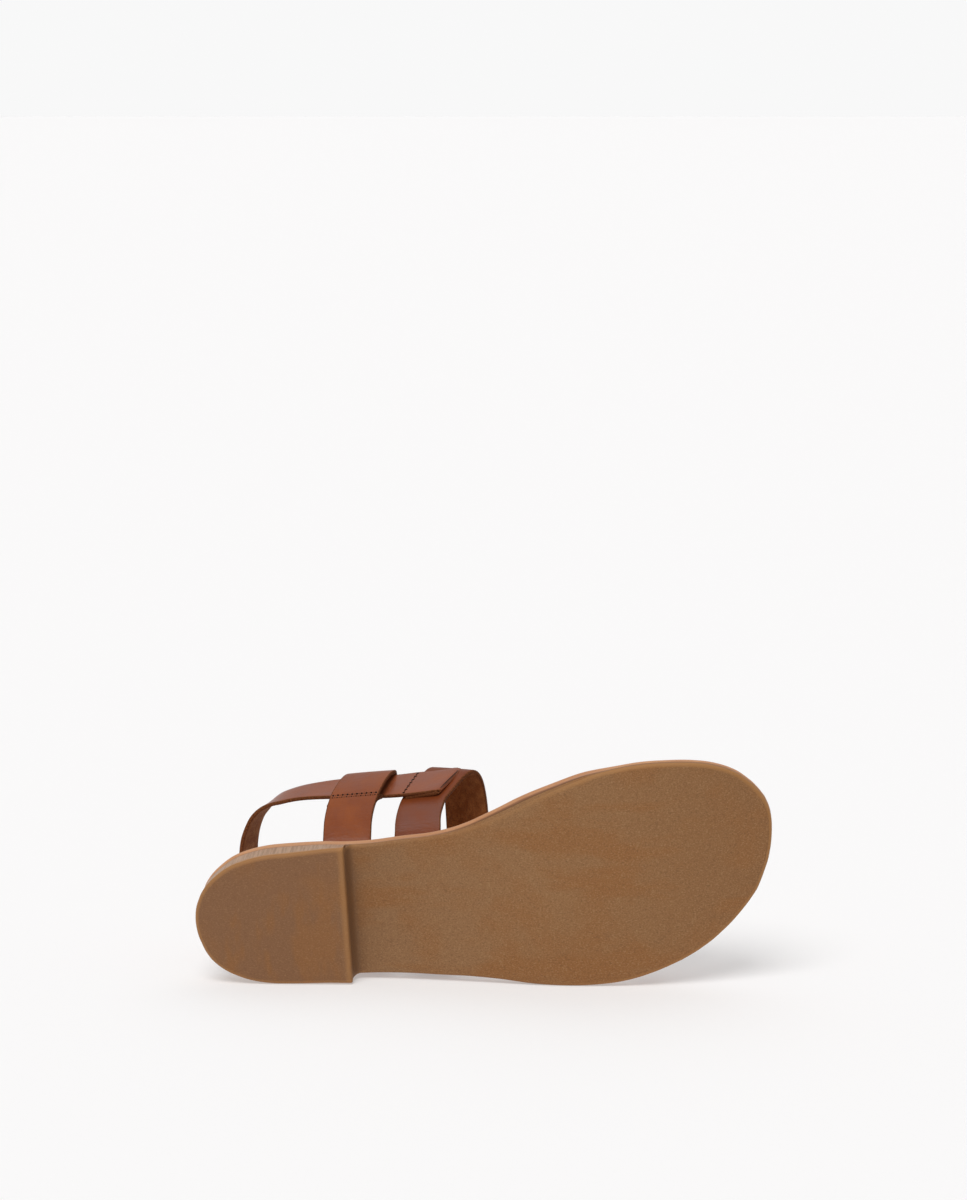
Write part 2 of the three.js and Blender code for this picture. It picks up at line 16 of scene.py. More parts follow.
import bmesh
import bpy
from mathutils import Matrix, Vector, noise

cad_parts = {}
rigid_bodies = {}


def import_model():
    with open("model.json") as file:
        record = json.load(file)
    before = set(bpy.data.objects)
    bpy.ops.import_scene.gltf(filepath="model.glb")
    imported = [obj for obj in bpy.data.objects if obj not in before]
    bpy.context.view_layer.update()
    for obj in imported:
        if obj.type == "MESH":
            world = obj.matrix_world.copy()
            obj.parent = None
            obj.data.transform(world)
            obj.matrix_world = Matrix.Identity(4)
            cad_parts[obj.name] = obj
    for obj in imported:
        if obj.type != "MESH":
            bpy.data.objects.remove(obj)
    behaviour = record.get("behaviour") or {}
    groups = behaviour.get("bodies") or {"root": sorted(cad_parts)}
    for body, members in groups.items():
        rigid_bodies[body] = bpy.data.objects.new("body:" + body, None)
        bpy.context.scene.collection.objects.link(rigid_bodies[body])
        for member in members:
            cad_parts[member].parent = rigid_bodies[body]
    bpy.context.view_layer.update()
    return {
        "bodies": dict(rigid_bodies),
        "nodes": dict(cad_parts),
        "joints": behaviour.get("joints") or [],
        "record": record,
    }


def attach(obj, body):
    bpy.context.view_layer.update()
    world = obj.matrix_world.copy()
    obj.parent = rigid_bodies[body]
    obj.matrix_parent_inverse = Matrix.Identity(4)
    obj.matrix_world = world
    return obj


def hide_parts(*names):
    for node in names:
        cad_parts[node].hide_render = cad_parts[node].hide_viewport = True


LOG = logging.getLogger("sandal")

MM = 0.001

Row = tuple[float, ...]
Colour = tuple[float, float, float]
Socket = bpy.types.NodeSocket
Feed = float | Sequence[float] | Socket

# Outline of the sole where the footbed sits on it: x, inner edge, outer edge.
OUTLINE: list[Row] = [
    (0, -1, -1), (2, 8.4, -10.9), (5, 13.8, -17.2), (10, 18.7, -22.2), (16, 22.7, -25.7), (23, 25.2, -28.3),
    (31, 26.7, -29.8), (40, 27.2, -30.4), (55, 27.3, -31), (66, 26.7, -31.8), (77, 27, -32),
    (90, 28.5, -32.5), (103, 30, -33.3), (116, 33.5, -33.9), (129.5, 39.6, -35.2), (143, 46.2, -37.2),
    (156, 51.2, -38.3), (169, 55.4, -38.6), (182, 57.4, -37.6), (195, 58.9, -34.4), (208, 58.8, -29.5),
    (217, 58, -24.6), (226, 56, -18), (235, 51.9, -9.4), (242, 45.9, -0.6), (245.3, 41.5, 7),
    (247.9, 36.5, 15), (249.4, 28, 28),
]

# How far the heel block spreads from its top to its tread: x, inner side, outer side.
HEEL_FLARE: list[Row] = [
    (0, 0.9, 0.9), (6, 0.6, 1.1), (20, 0, 1.2), (40, 0, 1.1), (52, 0.7, 1), (65, 2, 0.8),
]

# How far the inner edge of the waist's tread is drawn in under the footbed: x, distance.
WAIST_TUCK: list[Row] = [
    (68, 0), (105, 0.3), (116, 1.2), (126, 2.4), (140, 3.2), (151, 2.4), (160, 2), (168, 1.8), (174, 0.9),
    (180, 0.2), (186, 0),
]

# How far the footbed stands out over the rubber along the inner edge: x, distance.
SHELF: list[Row] = [(0, 0), (12, 0.5), (70, 0.5), (116, 0.8), (140, 1.4), (165, 1), (186, 0)]

# Straps: middle of the smooth face (x, m, z), then the direction across the strap (wx, wm, wz).
INNER_QUARTER: list[Row] = [
    (65, 23.1, 14.8, 1, 0, 0), (65, 23.1, 19.6, 1, 0, 0), (65.2, 27, 24, 1, 0.01, 0),
    (65.5, 32.2, 31, 1, 0.02, 0), (66.4, 36, 38, 1, 0.03, 0), (67.8, 39.2, 44.5, 1, 0.03, 0),
    (69.8, 41.7, 52, 1, 0.03, 0), (71.9, 43.2, 60, 1, 0.03, 0), (73.8, 43.3, 67, 1, 0.03, 0),
    (74.9, 42, 71.3, 1, 0.03, 0), (75.2, 39.2, 72.8, 1, 0.03, 0), (74.9, 36.4, 71.3, 1, 0.03, 0),
    (73.8, 34.8, 67, 1, 0.03, 0), (71.7, 34.3, 60, 1, 0.03, 0), (69.3, 34.7, 52, 1, 0.03, 0),
    (67.3, 35.5, 45, 1, 0.03, 0), (66.6, 34.8, 42, 1, 0.03, 0),
]
OUTER_QUARTER: list[Row] = [
    (71.6, -29.2, 14.8, 1, -0.05, 0), (71.6, -29.2, 19.6, 1, -0.05, 0), (71.6, -32, 26, 1, -0.05, 0),
    (71.6, -34.6, 35, 1, -0.05, 0), (71.7, -37, 44.5, 1, -0.05, 0), (71.8, -38, 53, 1, -0.05, 0),
    (71.9, -38.2, 62, 1, -0.05, 0), (72, -38, 69, 1, -0.05, 0), (72, -36.6, 72, 1, -0.05, 0),
    (72, -34.3, 73.3, 1, -0.05, 0), (72, -31.9, 72, 1, -0.05, 0), (72, -30.4, 68, 1, -0.05, 0),
    (71.9, -30, 61, 1, -0.05, 0), (71.8, -30.8, 53, 1, -0.05, 0), (71.7, -32.3, 45, 1, -0.05, 0),
    (71.6, -31.5, 40.5, 1, -0.05, 0),
]
INSTEP: list[Row] = [
    (96, 25.6, 13.4, 1, 0.02, 0), (96, 25.6, 17.6, 1, 0.02, 0), (96.1, 28.4, 24, 1, 0.02, 0),
    (95.9, 30.5, 34, 0.99, 0.06, -0.03), (96.6, 32.6, 42.5, 0.98, 0.04, -0.1),
    (98.3, 34.9, 52.5, 0.97, 0.02, -0.25), (103.2, 38.6, 61, 0.94, 0.01, -0.33),
    (106.7, 41, 66.2, 0.92, 0, -0.38), (110, 42.3, 70, 0.91, 0, -0.41), (112.6, 40.6, 73.4, 0.92, 0, -0.38),
    (114.5, 36, 76, 0.94, 0, -0.35), (115.5, 27, 78.7, 0.95, 0, -0.31), (115.7, 15, 80.2, 0.96, 0, -0.28),
    (115.3, 3, 79.8, 0.96, 0.01, -0.28), (114.2, -9, 76.9, 0.96, 0.02, -0.28),
    (112, -19.8, 70.9, 0.96, 0.03, -0.27), (109, -29, 61.8, 0.97, 0, -0.23),
    (106.2, -30.6, 53, 0.97, -0.02, -0.2), (103.8, -30.8, 44, 0.98, -0.02, -0.12),
    (101.4, -31.6, 34, 1, -0.04, -0.04), (100.2, -31.9, 25, 1, -0.05, 0), (99.6, -30.6, 17.6, 1, -0.05, 0),
    (99.6, -30.6, 13.4, 1, -0.05, 0),
]
ANKLE: list[Row] = [
    (93.5, 35.8, 61, 0.36, 0.26, 0.89), (99, 36.6, 60.6, 0.42, 0.26, 0.87),
    (104, 37.3, 60.2, 0.47, 0.26, 0.84), (107.4, 37.8, 60, 0.49, 0.26, 0.83),
    (109.7, 38.4, 59.9, 0.5, 0.26, 0.83), (110.6, 39.4, 59.8, 0.5, 0.26, 0.83),
    (109.7, 40.3, 59.8, 0.5, 0.26, 0.83), (107.4, 40.6, 59.8, 0.49, 0.26, 0.83),
    (103.5, 40.2, 59.9, 0.46, 0.26, 0.85), (98, 39.7, 60.1, 0.41, 0.26, 0.87),
    (92, 39.3, 60.4, 0.36, 0.27, 0.89), (82.9, 38.8, 60.9, 0.3, 0.24, 0.92),
    (71.3, 38.6, 61.6, 0.22, 0.21, 0.95), (59.7, 38.4, 62.5, 0.16, 0.16, 0.97),
    (48.5, 37.7, 63.5, 0.09, 0.08, 0.99), (41.1, 36.7, 64.2, 0.03, 0.02, 1), (33.6, 34.7, 65, 0, -0.05, 1),
    (28.9, 32.6, 65.5, 0.02, -0.17, 0.98), (25.2, 29.9, 66, 0.11, -0.24, 0.96),
    (21.8, 26.4, 66.4, 0.19, -0.22, 0.96), (19, 21, 66.8, 0.24, -0.2, 0.95),
    (17.2, 15.4, 67, 0.28, -0.2, 0.94), (16.2, 9.4, 67, 0.3, -0.18, 0.93), (15.8, 2, 67, 0.3, -0.08, 0.94),
    (16.6, -7, 66.9, 0.28, 0.08, 0.95), (20.2, -16.6, 66.5, 0.22, 0.14, 0.96),
    (28.4, -24.9, 65.7, 0.14, 0.08, 0.98), (40, -30, 64.6, 0.09, 0.02, 0.99),
    (52, -32.8, 63.3, 0.08, -0.05, 0.99), (63, -33.6, 61.8, 0.12, -0.03, 0.99),
    (74, -34, 59.7, 0.18, -0.03, 0.98), (84, -34.7, 57.4, 0.22, -0.01, 0.97),
    (91.4, -35.2, 55.7, 0.23, 0.02, 0.97), (94.5, -34.1, 55.1, 0.23, 0.02, 0.97),
    (95.6, -31.6, 54.8, 0.23, 0.02, 0.97), (94.5, -29.1, 55.1, 0.23, 0.02, 0.97),
    (91.4, -28, 55.7, 0.23, 0.02, 0.97), (83.4, -30.6, 57.5, 0.22, -0.03, 0.97),
]
BILLET: list[Row] = [
    (100, -26.6, 54.2, 0.22, 0.07, 0.97), (105, -26.5, 53.2, 0.22, 0.07, 0.97),
    (111, -26.3, 52, 0.22, 0.07, 0.97), (116.6, -26.2, 50.9, 0.22, 0.07, 0.97),
    (119.8, -27.4, 50.3, 0.22, 0.07, 0.97), (120.8, -29.9, 50.1, 0.22, 0.08, 0.97),
    (119.6, -32.2, 50.3, 0.22, 0.08, 0.97), (116, -33, 51, 0.22, 0.08, 0.97),
    (110, -33, 52.2, 0.22, 0.07, 0.97), (104.5, -33.6, 53.3, 0.22, 0.04, 0.97),
    (100.6, -35.3, 54, 0.22, 0, 0.97), (96.6, -36.9, 54.8, 0.22, -0.03, 0.97),
    (91.5, -37.2, 55.8, 0.22, -0.03, 0.97), (84, -36.45, 57.4, 0.22, -0.02, 0.97),
    (74, -35.65, 59.6, 0.18, -0.04, 0.98), (65, -35.3, 61.4, 0.13, -0.03, 0.99),
]
BALL_STRAP: list[Row] = [
    (175, 52.1, 3.7, 0.96, 0.29, 0), (175, 52.1, 8.6, 0.96, 0.29, 0),
    (174.7, 51.6, 15, 0.96, 0.26, -0.04), (173.2, 48.4, 25, 0.96, 0.18, -0.14),
    (170, 41.5, 36, 0.95, 0.05, -0.24), (166.5, 31, 46, 0.94, -0.08, -0.3),
    (163, 17, 52.5, 0.93, -0.14, -0.32), (160, 2, 54, 0.93, -0.14, -0.32),
    (158, -13, 49.5, 0.94, -0.1, -0.3), (157, -25, 40, 0.96, -0.06, -0.22),
    (157, -32.5, 28, 0.98, -0.05, -0.12), (157.5, -35.9, 17, 1, -0.05, -0.04),
    (158, -35.4, 9, 1, -0.06, 0), (158, -35.4, 4.5, 1, -0.06, 0),
]
TOE_STRAP: list[Row] = [
    (209, 56.6, 5.7, 1, -0.03, 0), (209, 56.6, 10, 1, -0.03, 0), (208.8, 55.2, 16, 1, -0.04, -0.03),
    (208, 50.5, 25, 0.98, -0.08, -0.16), (206.5, 41.5, 33.5, 0.95, -0.12, -0.28),
    (204.5, 29, 39, 0.93, -0.13, -0.34), (202.3, 15, 41, 0.92, -0.13, -0.36),
    (200, 0, 39, 0.93, -0.1, -0.34), (198, -13, 34, 0.94, 0, -0.28), (196.6, -24, 26.5, 0.96, 0.14, -0.18),
    (196, -30.3, 17, 0.96, 0.25, -0.06), (196, -31.2, 9, 0.96, 0.29, 0), (196, -31.2, 4.6, 0.96, 0.29, 0),
]


def look_up(table: Sequence[Row], x: float, column: int) -> float:
    """Value of one column of a table at an x, on straight lines between its rows.

    Args:
        table: rows in order of x.
        x: place along the shoe.
        column: number of the column.

    Returns:
        The value.
    """
    row = 0
    while row < len(table) - 2 and x > table[row + 1][0]:
        row += 1
    low, high = table[row], table[row + 1]
    part = min(1.0, max(0.0, (x - low[0]) / (high[0] - low[0])))
    return low[column] + part * (high[column] - low[column])


# ---- placing ----


@dataclass
class Pose:
    """Turn and place of the shoe as it lies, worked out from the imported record's mounts."""

    turn: Matrix
    origin: Vector

    HEEL = Vector((35.0, 0.0, 0.0))
    BALL = Vector((175.0, 8.0, 0.0))

    @classmethod
    def from_record(cls, record: dict) -> "Pose":
        """Reads the heel and ball treads, whose places in the shoe are known.

        Args:
            record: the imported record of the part.

        Returns:
            The pose that carries shoe places to the row frame.
        """
        mounts = {mount["name"]: mount for mount in record["mounts"]}
        heel = Vector(mounts["heel_tread"]["pos_m"])
        ball = Vector(mounts["ball_tread"]["pos_m"])
        rise = -Vector(mounts["heel_tread"]["axis"]).normalized()
        run = (ball - heel)
        run = (run - rise * run.dot(rise)).normalized()
        side = rise.cross(run)
        step = cls.BALL - cls.HEEL
        reach = math.hypot(step.x, step.y)
        forward = (run * step.x + side * step.y) / reach
        inner = (run * step.y - side * step.x) / reach
        turn = Matrix((forward, inner, rise)).transposed()
        return cls(turn, heel - turn @ (cls.HEEL * MM))

    def spot(self, x: float, m: float, z: float) -> Vector:
        """Place in the row frame, in metres, of a place in the shoe, in millimetres."""
        return self.origin + self.turn @ Vector((x * MM, m * MM, z * MM))

    def carry(self, place: Vector) -> Vector:
        """Same as spot, for a vector of forward, inner and up."""
        return self.spot(place.x, place.y, place.z)


# ---- finishes ----


class Recipe:
    """Node tree of one finish, laid link by link round a principled shader."""

    def __init__(self, name: str) -> None:
        """Starts an empty material with its shader and output.

        Args:
            name: the material's name.
        """
        self.material = bpy.data.materials.new(name)
        self.material.use_nodes = True
        self.tree = self.material.node_tree
        self.tree.nodes.clear()
        output = self.tree.nodes.new("ShaderNodeOutputMaterial")
        self.shader = self.tree.nodes.new("ShaderNodeBsdfPrincipled")
        self.tree.links.new(self.shader.outputs["BSDF"], output.inputs["Surface"])

    def feed(self, node: bpy.types.Node, socket: str | int, value: Feed) -> None:
        """Links a socket to a node's input, or sets the input to a number or colour.

        Args:
            node: the node that receives.
            socket: the name or number of its input.
            value: an output socket, a number, or three or four numbers.
        """
        target = node.inputs[socket]
        if isinstance(value, bpy.types.NodeSocket):
            self.tree.links.new(value, target)
        elif isinstance(value, (int, float)):
            target.default_value = value
        else:
            given = tuple(value)
            short = len(given) == 3 and len(target.default_value) == 4
            target.default_value = (*given, 1.0) if short else given

    def set(self, **values: Feed) -> None:
        """Sets shader inputs, their names written with underscores for spaces."""
        for name, value in values.items():
            self.feed(self.shader, name.replace("_", " "), value)

    def coordinates(self, kind: str) -> Socket:
        """Output of the texture coordinate node, such as Object."""
        return self.tree.nodes.new("ShaderNodeTexCoord").outputs[kind]

    def chart(self, name: str) -> Socket:
        """Coordinates of a named chart laid over the piece."""
        node = self.tree.nodes.new("ShaderNodeUVMap")
        node.uv_map = name
        return node.outputs["UV"]

    def split(self, vector: Socket) -> tuple[Socket, Socket, Socket]:
        """The three parts of a vector."""
        node = self.tree.nodes.new("ShaderNodeSeparateXYZ")
        self.feed(node, 0, vector)
        return node.outputs[0], node.outputs[1], node.outputs[2]

    def scaled(self, vector: Socket, scale: Sequence[float]) -> Socket:
        """A vector stretched by three numbers.

        Args:
            vector: the vector.
            scale: how much each of its numbers is stretched.

        Returns:
            The socket with the stretched vector.
        """
        node = self.tree.nodes.new("ShaderNodeMapping")
        self.feed(node, "Vector", vector)
        self.feed(node, "Scale", scale)
        return node.outputs["Vector"]

    def cloud(self, vector: Socket, scale: float, detail: float = 2.0, rough: float = 0.5) -> Socket:
        """Soft noise between about 0.3 and 0.7.

        Args:
            vector: coordinates that it reads.
            scale: how many waves fit in one unit.
            detail: number of finer layers.
            rough: weight of the finer layers.

        Returns:
            The socket with the noise.
        """
        node = self.tree.nodes.new("ShaderNodeTexNoise")
        for name, value in (("Vector", vector), ("Scale", scale), ("Detail", detail), ("Roughness", rough)):
            self.feed(node, name, value)
        return node.outputs["Fac"]

    def cells(self, vector: Socket, scale: float) -> Socket:
        """Distance from the middle of the nearest cell.

        Args:
            vector: coordinates that it reads.
            scale: how many cells fit in one unit.

        Returns:
            The socket with the distance.
        """
        node = self.tree.nodes.new("ShaderNodeTexVoronoi")
        self.feed(node, "Vector", vector)
        self.feed(node, "Scale", scale)
        return node.outputs["Distance"]

    def span(self, value: Socket, low: float, high: float, to_low: float = 0.0,
             to_high: float = 1.0) -> Socket:
        """Smooth step of a value from low to high, held level beyond both.

        Args:
            value: what is mapped.
            low: where the step starts.
            high: where the step ends.
            to_low: result at the start.
            to_high: result at the end.

        Returns:
            The socket with the mapped value.
        """
        node = self.tree.nodes.new("ShaderNodeMapRange")
        node.interpolation_type = "SMOOTHSTEP"
        for socket, number in ((0, value), (1, low), (2, high), (3, to_low), (4, to_high)):
            self.feed(node, socket, number)
        return node.outputs[0]

    def maths(self, operation: str, a: Feed, b: Feed = 0.0) -> Socket:
        """One sum of two numbers.

        Args:
            operation: which sum, by the node's own name for it.
            a: the first number.
            b: the second number.

        Returns:
            The socket with the answer.
        """
        node = self.tree.nodes.new("ShaderNodeMath")
        node.operation = operation
        self.feed(node, 0, a)
        self.feed(node, 1, b)
        return node.outputs[0]

    def blend(self, share: Feed, a: Feed, b: Feed, mode: str = "MIX") -> Socket:
        """Mixes two colours.

        Args:
            share: how much of the second colour is taken.
            a: the first colour.
            b: the second colour.
            mode: the blend mode.

        Returns:
            The socket with the mixed colour.
        """
        node = self.tree.nodes.new("ShaderNodeMix")
        node.data_type = "RGBA"
        node.blend_type = mode
        self.feed(node, 0, share)
        self.feed(node, 6, a)
        self.feed(node, 7, b)
        return node.outputs[2]

    def bands(self, value: Socket, stops: Iterable[tuple[float, Colour]]) -> Socket:
        """Colour that changes through the given stops as a value goes from 0 to 1.

        Args:
            value: the value.
            stops: each stop's place and colour.

        Returns:
            The socket with the colour.
        """
        node = self.tree.nodes.new("ShaderNodeValToRGB")
        ramp = node.color_ramp
        for index, (place, colour) in enumerate(stops):
            stop = ramp.elements[index] if index < 2 else ramp.elements.new(place)
            stop.position = place
            stop.color = (*colour, 1.0)
        self.feed(node, 0, value)
        return node.outputs[0]

    def relief(self, height: Socket, distance: float, strength: float = 1.0,
               under: Socket | None = None) -> Socket:
        """Bump from a height.

        Args:
            height: the height, about 0 to 1.
            distance: how deep one unit is, in metres.
            strength: share of the effect.
            under: a bump that this one adds to.

        Returns:
            The normal for the shader.
        """
        node = self.tree.nodes.new("ShaderNodeBump")
        self.feed(node, "Height", height)
        self.feed(node, "Distance", distance)
        self.feed(node, "Strength", strength)
        if under is not None:
            self.feed(node, "Normal", under)
        return node.outputs["Normal"]


@dataclass(frozen=True)
class TreadRubber:
    """Caramel moulded rubber with a fine speckle, a paler rounded rim with painted highlight, painted
    highlight on the heel's edge, and painted shade in the heel's breast and along the top of the wall.
    """

    heel: Colour = (0.216, 0.101, 0.044)
    waist: Colour = (0.256, 0.130, 0.055)
    ball: Colour = (0.272, 0.135, 0.052)
    toe: Colour = (0.236, 0.108, 0.037)
    # Paler rubber of the rounded rim, also the colour of the painted highlights.
    rim: Colour = (0.400, 0.190, 0.062)
    warm: Colour = (0.262, 0.108, 0.030)
    # Colour of the dark specks, and of the painted shade in the breast and along the top of the wall.
    dark_speck_and_shade: Colour = (0.140, 0.066, 0.028)
    speck_light: Colour = (0.375, 0.218, 0.105)
    length: float = 249.4
    # Span of x of the painted highlight on the heel's edge at the breast.
    lip: tuple[float, float] = (61.6, 64.9)
    # Span of x of the painted shade in the hollow of the heel's breast.
    breast_shade: tuple[float, float] = (65.3, 69.6)

    def make(self) -> bpy.types.Material:
        """Builds the material."""
        r = Recipe("sole_rubber")
        spot = r.coordinates("Object")
        edge, place, _ = r.split(r.chart("rim"))
        along = r.maths("DIVIDE", place, self.length)
        base = r.bands(along, (
            (0.0, self.heel), (0.24, self.heel), (0.29, self.waist), (0.6, self.ball), (1.0, self.toe),
        ))
        mottle = r.cloud(spot, 30, 3, 0.55)
        base = r.blend(r.span(mottle, 0.45, 0.68, 0, 0.6), base, self.warm)
        swirl = r.cloud(r.scaled(spot, (0.7, 1, 2.6)), 20, 3, 0.6)
        forward = r.span(along, 0.24, 0.30)
        base = r.blend(r.maths("MULTIPLY", r.span(swirl, 0.46, 0.62, 0, 0.75), forward), base, self.warm)
        stain = r.cloud(r.scaled(spot, (2.4, 1, 0.8)), 26, 3, 0.65)
        stained = r.maths("SUBTRACT", 1.0, forward)
        base = r.blend(r.maths("MULTIPLY", r.span(stain, 0.52, 0.64, 0, 0.55), stained), base, self.warm)
        speck = r.cloud(r.scaled(spot, (1, 1.5, 1.5)), 1350, 3, 0.75)
        strength = r.span(along, 0.22, 0.34, 0.42, 0.72)
        base = r.blend(r.maths("MULTIPLY", r.span(speck, 0.49, 0.72), strength), base, self.speck_light)
        base = r.blend(r.maths("MULTIPLY", r.span(speck, 0.49, 0.30), strength), base, self.dark_speck_and_shade)
        level = r.split(r.chart("side"))[1]
        # Painted highlight on the rounded rim and low on the wall, over paler rubber, at the heel and toe
        # only.
        ends = r.maths("ADD", r.span(along, 0.30, 0.26, 0.25, 1), r.span(along, 0.55, 0.75, 0, 0.85))
        pale_rim_and_highlight = r.maths("MULTIPLY", r.span(level, 1.4, 3.0, 0.7, 0.2), ends)
        base = r.blend(r.maths("MULTIPLY", r.span(edge, 2.2, 0.4), pale_rim_and_highlight), base, self.rim)
        # Painted shade along the top of the wall, in the gap under the footbed.
        base = r.blend(r.span(level, 10.8, 11.8, 0, 0.8), base, self.dark_speck_and_shade)
        # Painted highlight along the heel's edge at the breast.
        lip = r.maths("MULTIPLY", r.span(place, self.lip[0], self.lip[1] - 1.2),
                      r.span(place, self.lip[1] + 0.3, self.lip[1]))
        base = r.blend(r.maths("MULTIPLY", lip, 0.45), base, self.rim)
        # Painted shade in the hollow of the heel's breast.
        breast_shade = r.maths("MULTIPLY", r.span(place, self.breast_shade[0] - 0.3, self.breast_shade[0]),
                         r.span(place, self.breast_shade[1], 66.0))
        base = r.blend(r.maths("MULTIPLY", breast_shade, 0.6), base, self.dark_speck_and_shade)
        height = r.maths("ADD", r.cloud(spot, 2300, 2, 0.6), r.maths("MULTIPLY", r.cloud(spot, 260, 2), 1.3))
        r.set(Base_Color=base, Roughness=r.span(speck, 0.3, 0.7, 0.52, 0.66))
        r.set(Specular_IOR_Level=0.28, Normal=r.relief(height, 0.00016, 0.75))
        return r.material


@dataclass(frozen=True)
class StackGrain:
    """Printed stacked-wood grain on the side of the heel block, over a plain rubber foot."""

    pale: Colour = (0.480, 0.300, 0.190)
    dark: Colour = (0.300, 0.165, 0.090)
    grey: Colour = (0.400, 0.275, 0.190)
    foot: Colour = (0.430, 0.215, 0.085)
    foot_height: float = 2.6
    layer: float = 3.6

    def make(self) -> bpy.types.Material:
        """Builds the material."""
        r = Recipe("heel_stack_grain")
        chart = r.chart("side")
        height = r.split(chart)[1]
        streak = r.cloud(r.scaled(chart, (1.0, 0.035, 1)), 1.1, 4, 0.6)
        fibre = r.cloud(r.scaled(chart, (1.0, 0.03, 1)), 3.6, 3, 0.55)
        base = r.blend(r.span(streak, 0.34, 0.62), self.dark, self.pale)
        base = r.blend(r.span(fibre, 0.42, 0.66, 0, 0.55), base, self.grey)
        joint = r.maths("FRACT", r.maths("DIVIDE", height, self.layer))
        line = r.maths("MAXIMUM", r.span(joint, 0.06, 0.0), r.span(joint, 0.95, 1.0))
        base = r.blend(r.maths("MULTIPLY", line, 0.45), base, self.dark)
        base = r.blend(r.span(height, self.foot_height + 0.25, self.foot_height - 0.1), base, self.foot)
        r.set(Base_Color=base, Roughness=0.5, Specular_IOR_Level=0.45)
        r.set(Normal=r.relief(r.maths("SUBTRACT", fibre, r.maths("MULTIPLY", line, 0.5)), 0.0001, 0.7))
        return r.material


@dataclass(frozen=True)
class WrapLeather:
    """Natural tan leather wrapped over the footbed, darkened along its lower edge as painted shade where it
    meets the rubber.
    """

    base: Colour = (0.490, 0.220, 0.095)
    pale: Colour = (0.575, 0.295, 0.145)
    burnt: Colour = (0.400, 0.150, 0.055)
    # Colour of the painted shade along the lower edge.
    dark: Colour = (0.160, 0.060, 0.025)

    def make(self) -> bpy.types.Material:
        """Builds the material."""
        r = Recipe("footbed_leather")
        spot = r.coordinates("Object")
        tone = r.cloud(r.scaled(spot, (1, 2, 2)), 45, 4, 0.6)
        base = r.blend(r.span(tone, 0.30, 0.72), self.base, self.pale)
        base = r.blend(r.span(r.cloud(spot, 900, 3, 0.6), 0.50, 0.74, 0, 0.22), base, self.burnt)
        lip = r.split(r.chart("side"))[1]
        # Painted shade along the lower edge, in the gap over the rubber.
        base = r.blend(r.span(lip, 0.75, 0.1, 0, 0.7), base, self.dark)
        pores = r.cells(spot, 1500)
        creases = r.cloud(r.scaled(spot, (1, 1, 1)), 700, 3, 0.6)
        height = r.maths("ADD", r.maths("MULTIPLY", pores, 0.6), creases)
        r.set(Base_Color=base, Roughness=r.span(tone, 0.3, 0.7, 0.42, 0.56), Specular_IOR_Level=0.45)
        r.set(Normal=r.relief(height, 0.00009, 0.7))
        return r.material


@dataclass(frozen=True)
class StrapGrain:
    """Smooth waxed cognac leather with burnished edges."""

    name: str = "strap_leather"
    base: Colour = (0.240, 0.059, 0.015)
    orange: Colour = (0.300, 0.078, 0.015)
    plum: Colour = (0.195, 0.049, 0.019)
    burnish: Colour = (0.045, 0.011, 0.004)
    gloss: float = 0.17
    coat: float = 0.10
    creased_from: float = 2.6
    creased_to: float = 0.3

    def make(self) -> bpy.types.Material:
        """Builds the material."""
        r = Recipe(self.name)
        chart = r.chart("strap")
        tone = r.cloud(r.scaled(chart, (0.6, 1.0, 1)), 0.75, 3, 0.55)
        base = r.blend(r.span(tone, 0.36, 0.64), self.plum, self.orange)
        base = r.blend(0.62, base, self.base)
        streak = r.cloud(r.scaled(chart, (0.25, 1.6, 1)), 6, 3, 0.6)
        base = r.blend(r.span(streak, 0.52, 0.72, 0, 0.35), base, self.plum)
        pores = r.cloud(chart, 34, 2, 0.6)
        base = r.blend(r.span(pores, 0.58, 0.72, 0, 0.3), base, self.burnish)
        edge = r.split(r.chart("edge"))[0]
        wobble = r.maths("MULTIPLY", r.cloud(chart, 9, 2), 0.5)
        base = r.blend(r.span(r.maths("SUBTRACT", edge, wobble), 0.34, 0.02, 0, 0.65), base, self.burnish)
        creases = r.cells(r.scaled(chart, (1, 1.2, 1)), 17)
        wrinkle = r.cloud(r.scaled(chart, (1.0, 0.35, 1)), 3.2, 3, 0.55)
        height = r.maths("ADD", r.maths("MULTIPLY", creases, 0.35), r.maths("MULTIPLY", pores, 0.6))
        pull = r.cloud(r.scaled(chart, (1.0, 0.45, 1)), 5.0, 3, 0.6)
        near_foot = r.span(r.split(chart)[0], self.creased_from, self.creased_to)
        height = r.maths("ADD", height, r.maths("MULTIPLY", r.maths("MULTIPLY", pull, near_foot), 9.0))
        skin = r.relief(height, 0.00010, 0.85)
        r.set(Base_Color=base, Roughness=r.span(tone, 0.35, 0.65, 0.36, 0.46), Specular_IOR_Level=self.gloss)
        r.set(Coat_Weight=self.coat, Coat_Roughness=0.25, Normal=r.relief(wrinkle, 0.0005, 0.30, skin))
        return r.material


@dataclass(frozen=True)
class StrapEdge:
    """Cut and burnished edge of the straps, streaked between dark and tan brown."""

    core: Colour = (0.230, 0.080, 0.028)
    dark: Colour = (0.075, 0.022, 0.008)

    def make(self) -> bpy.types.Material:
        """Builds the material."""
        r = Recipe("strap_edge")
        chart = r.chart("strap")
        fibre = r.cloud(r.scaled(chart, (1.0, 3.0, 1)), 12, 4, 0.65)
        base = r.blend(r.span(fibre, 0.38, 0.62), self.dark, self.core)
        r.set(Base_Color=base, Roughness=0.75, Specular_IOR_Level=0.08)
        r.set(Normal=r.relief(fibre, 0.0002, 0.7))
        return r.material


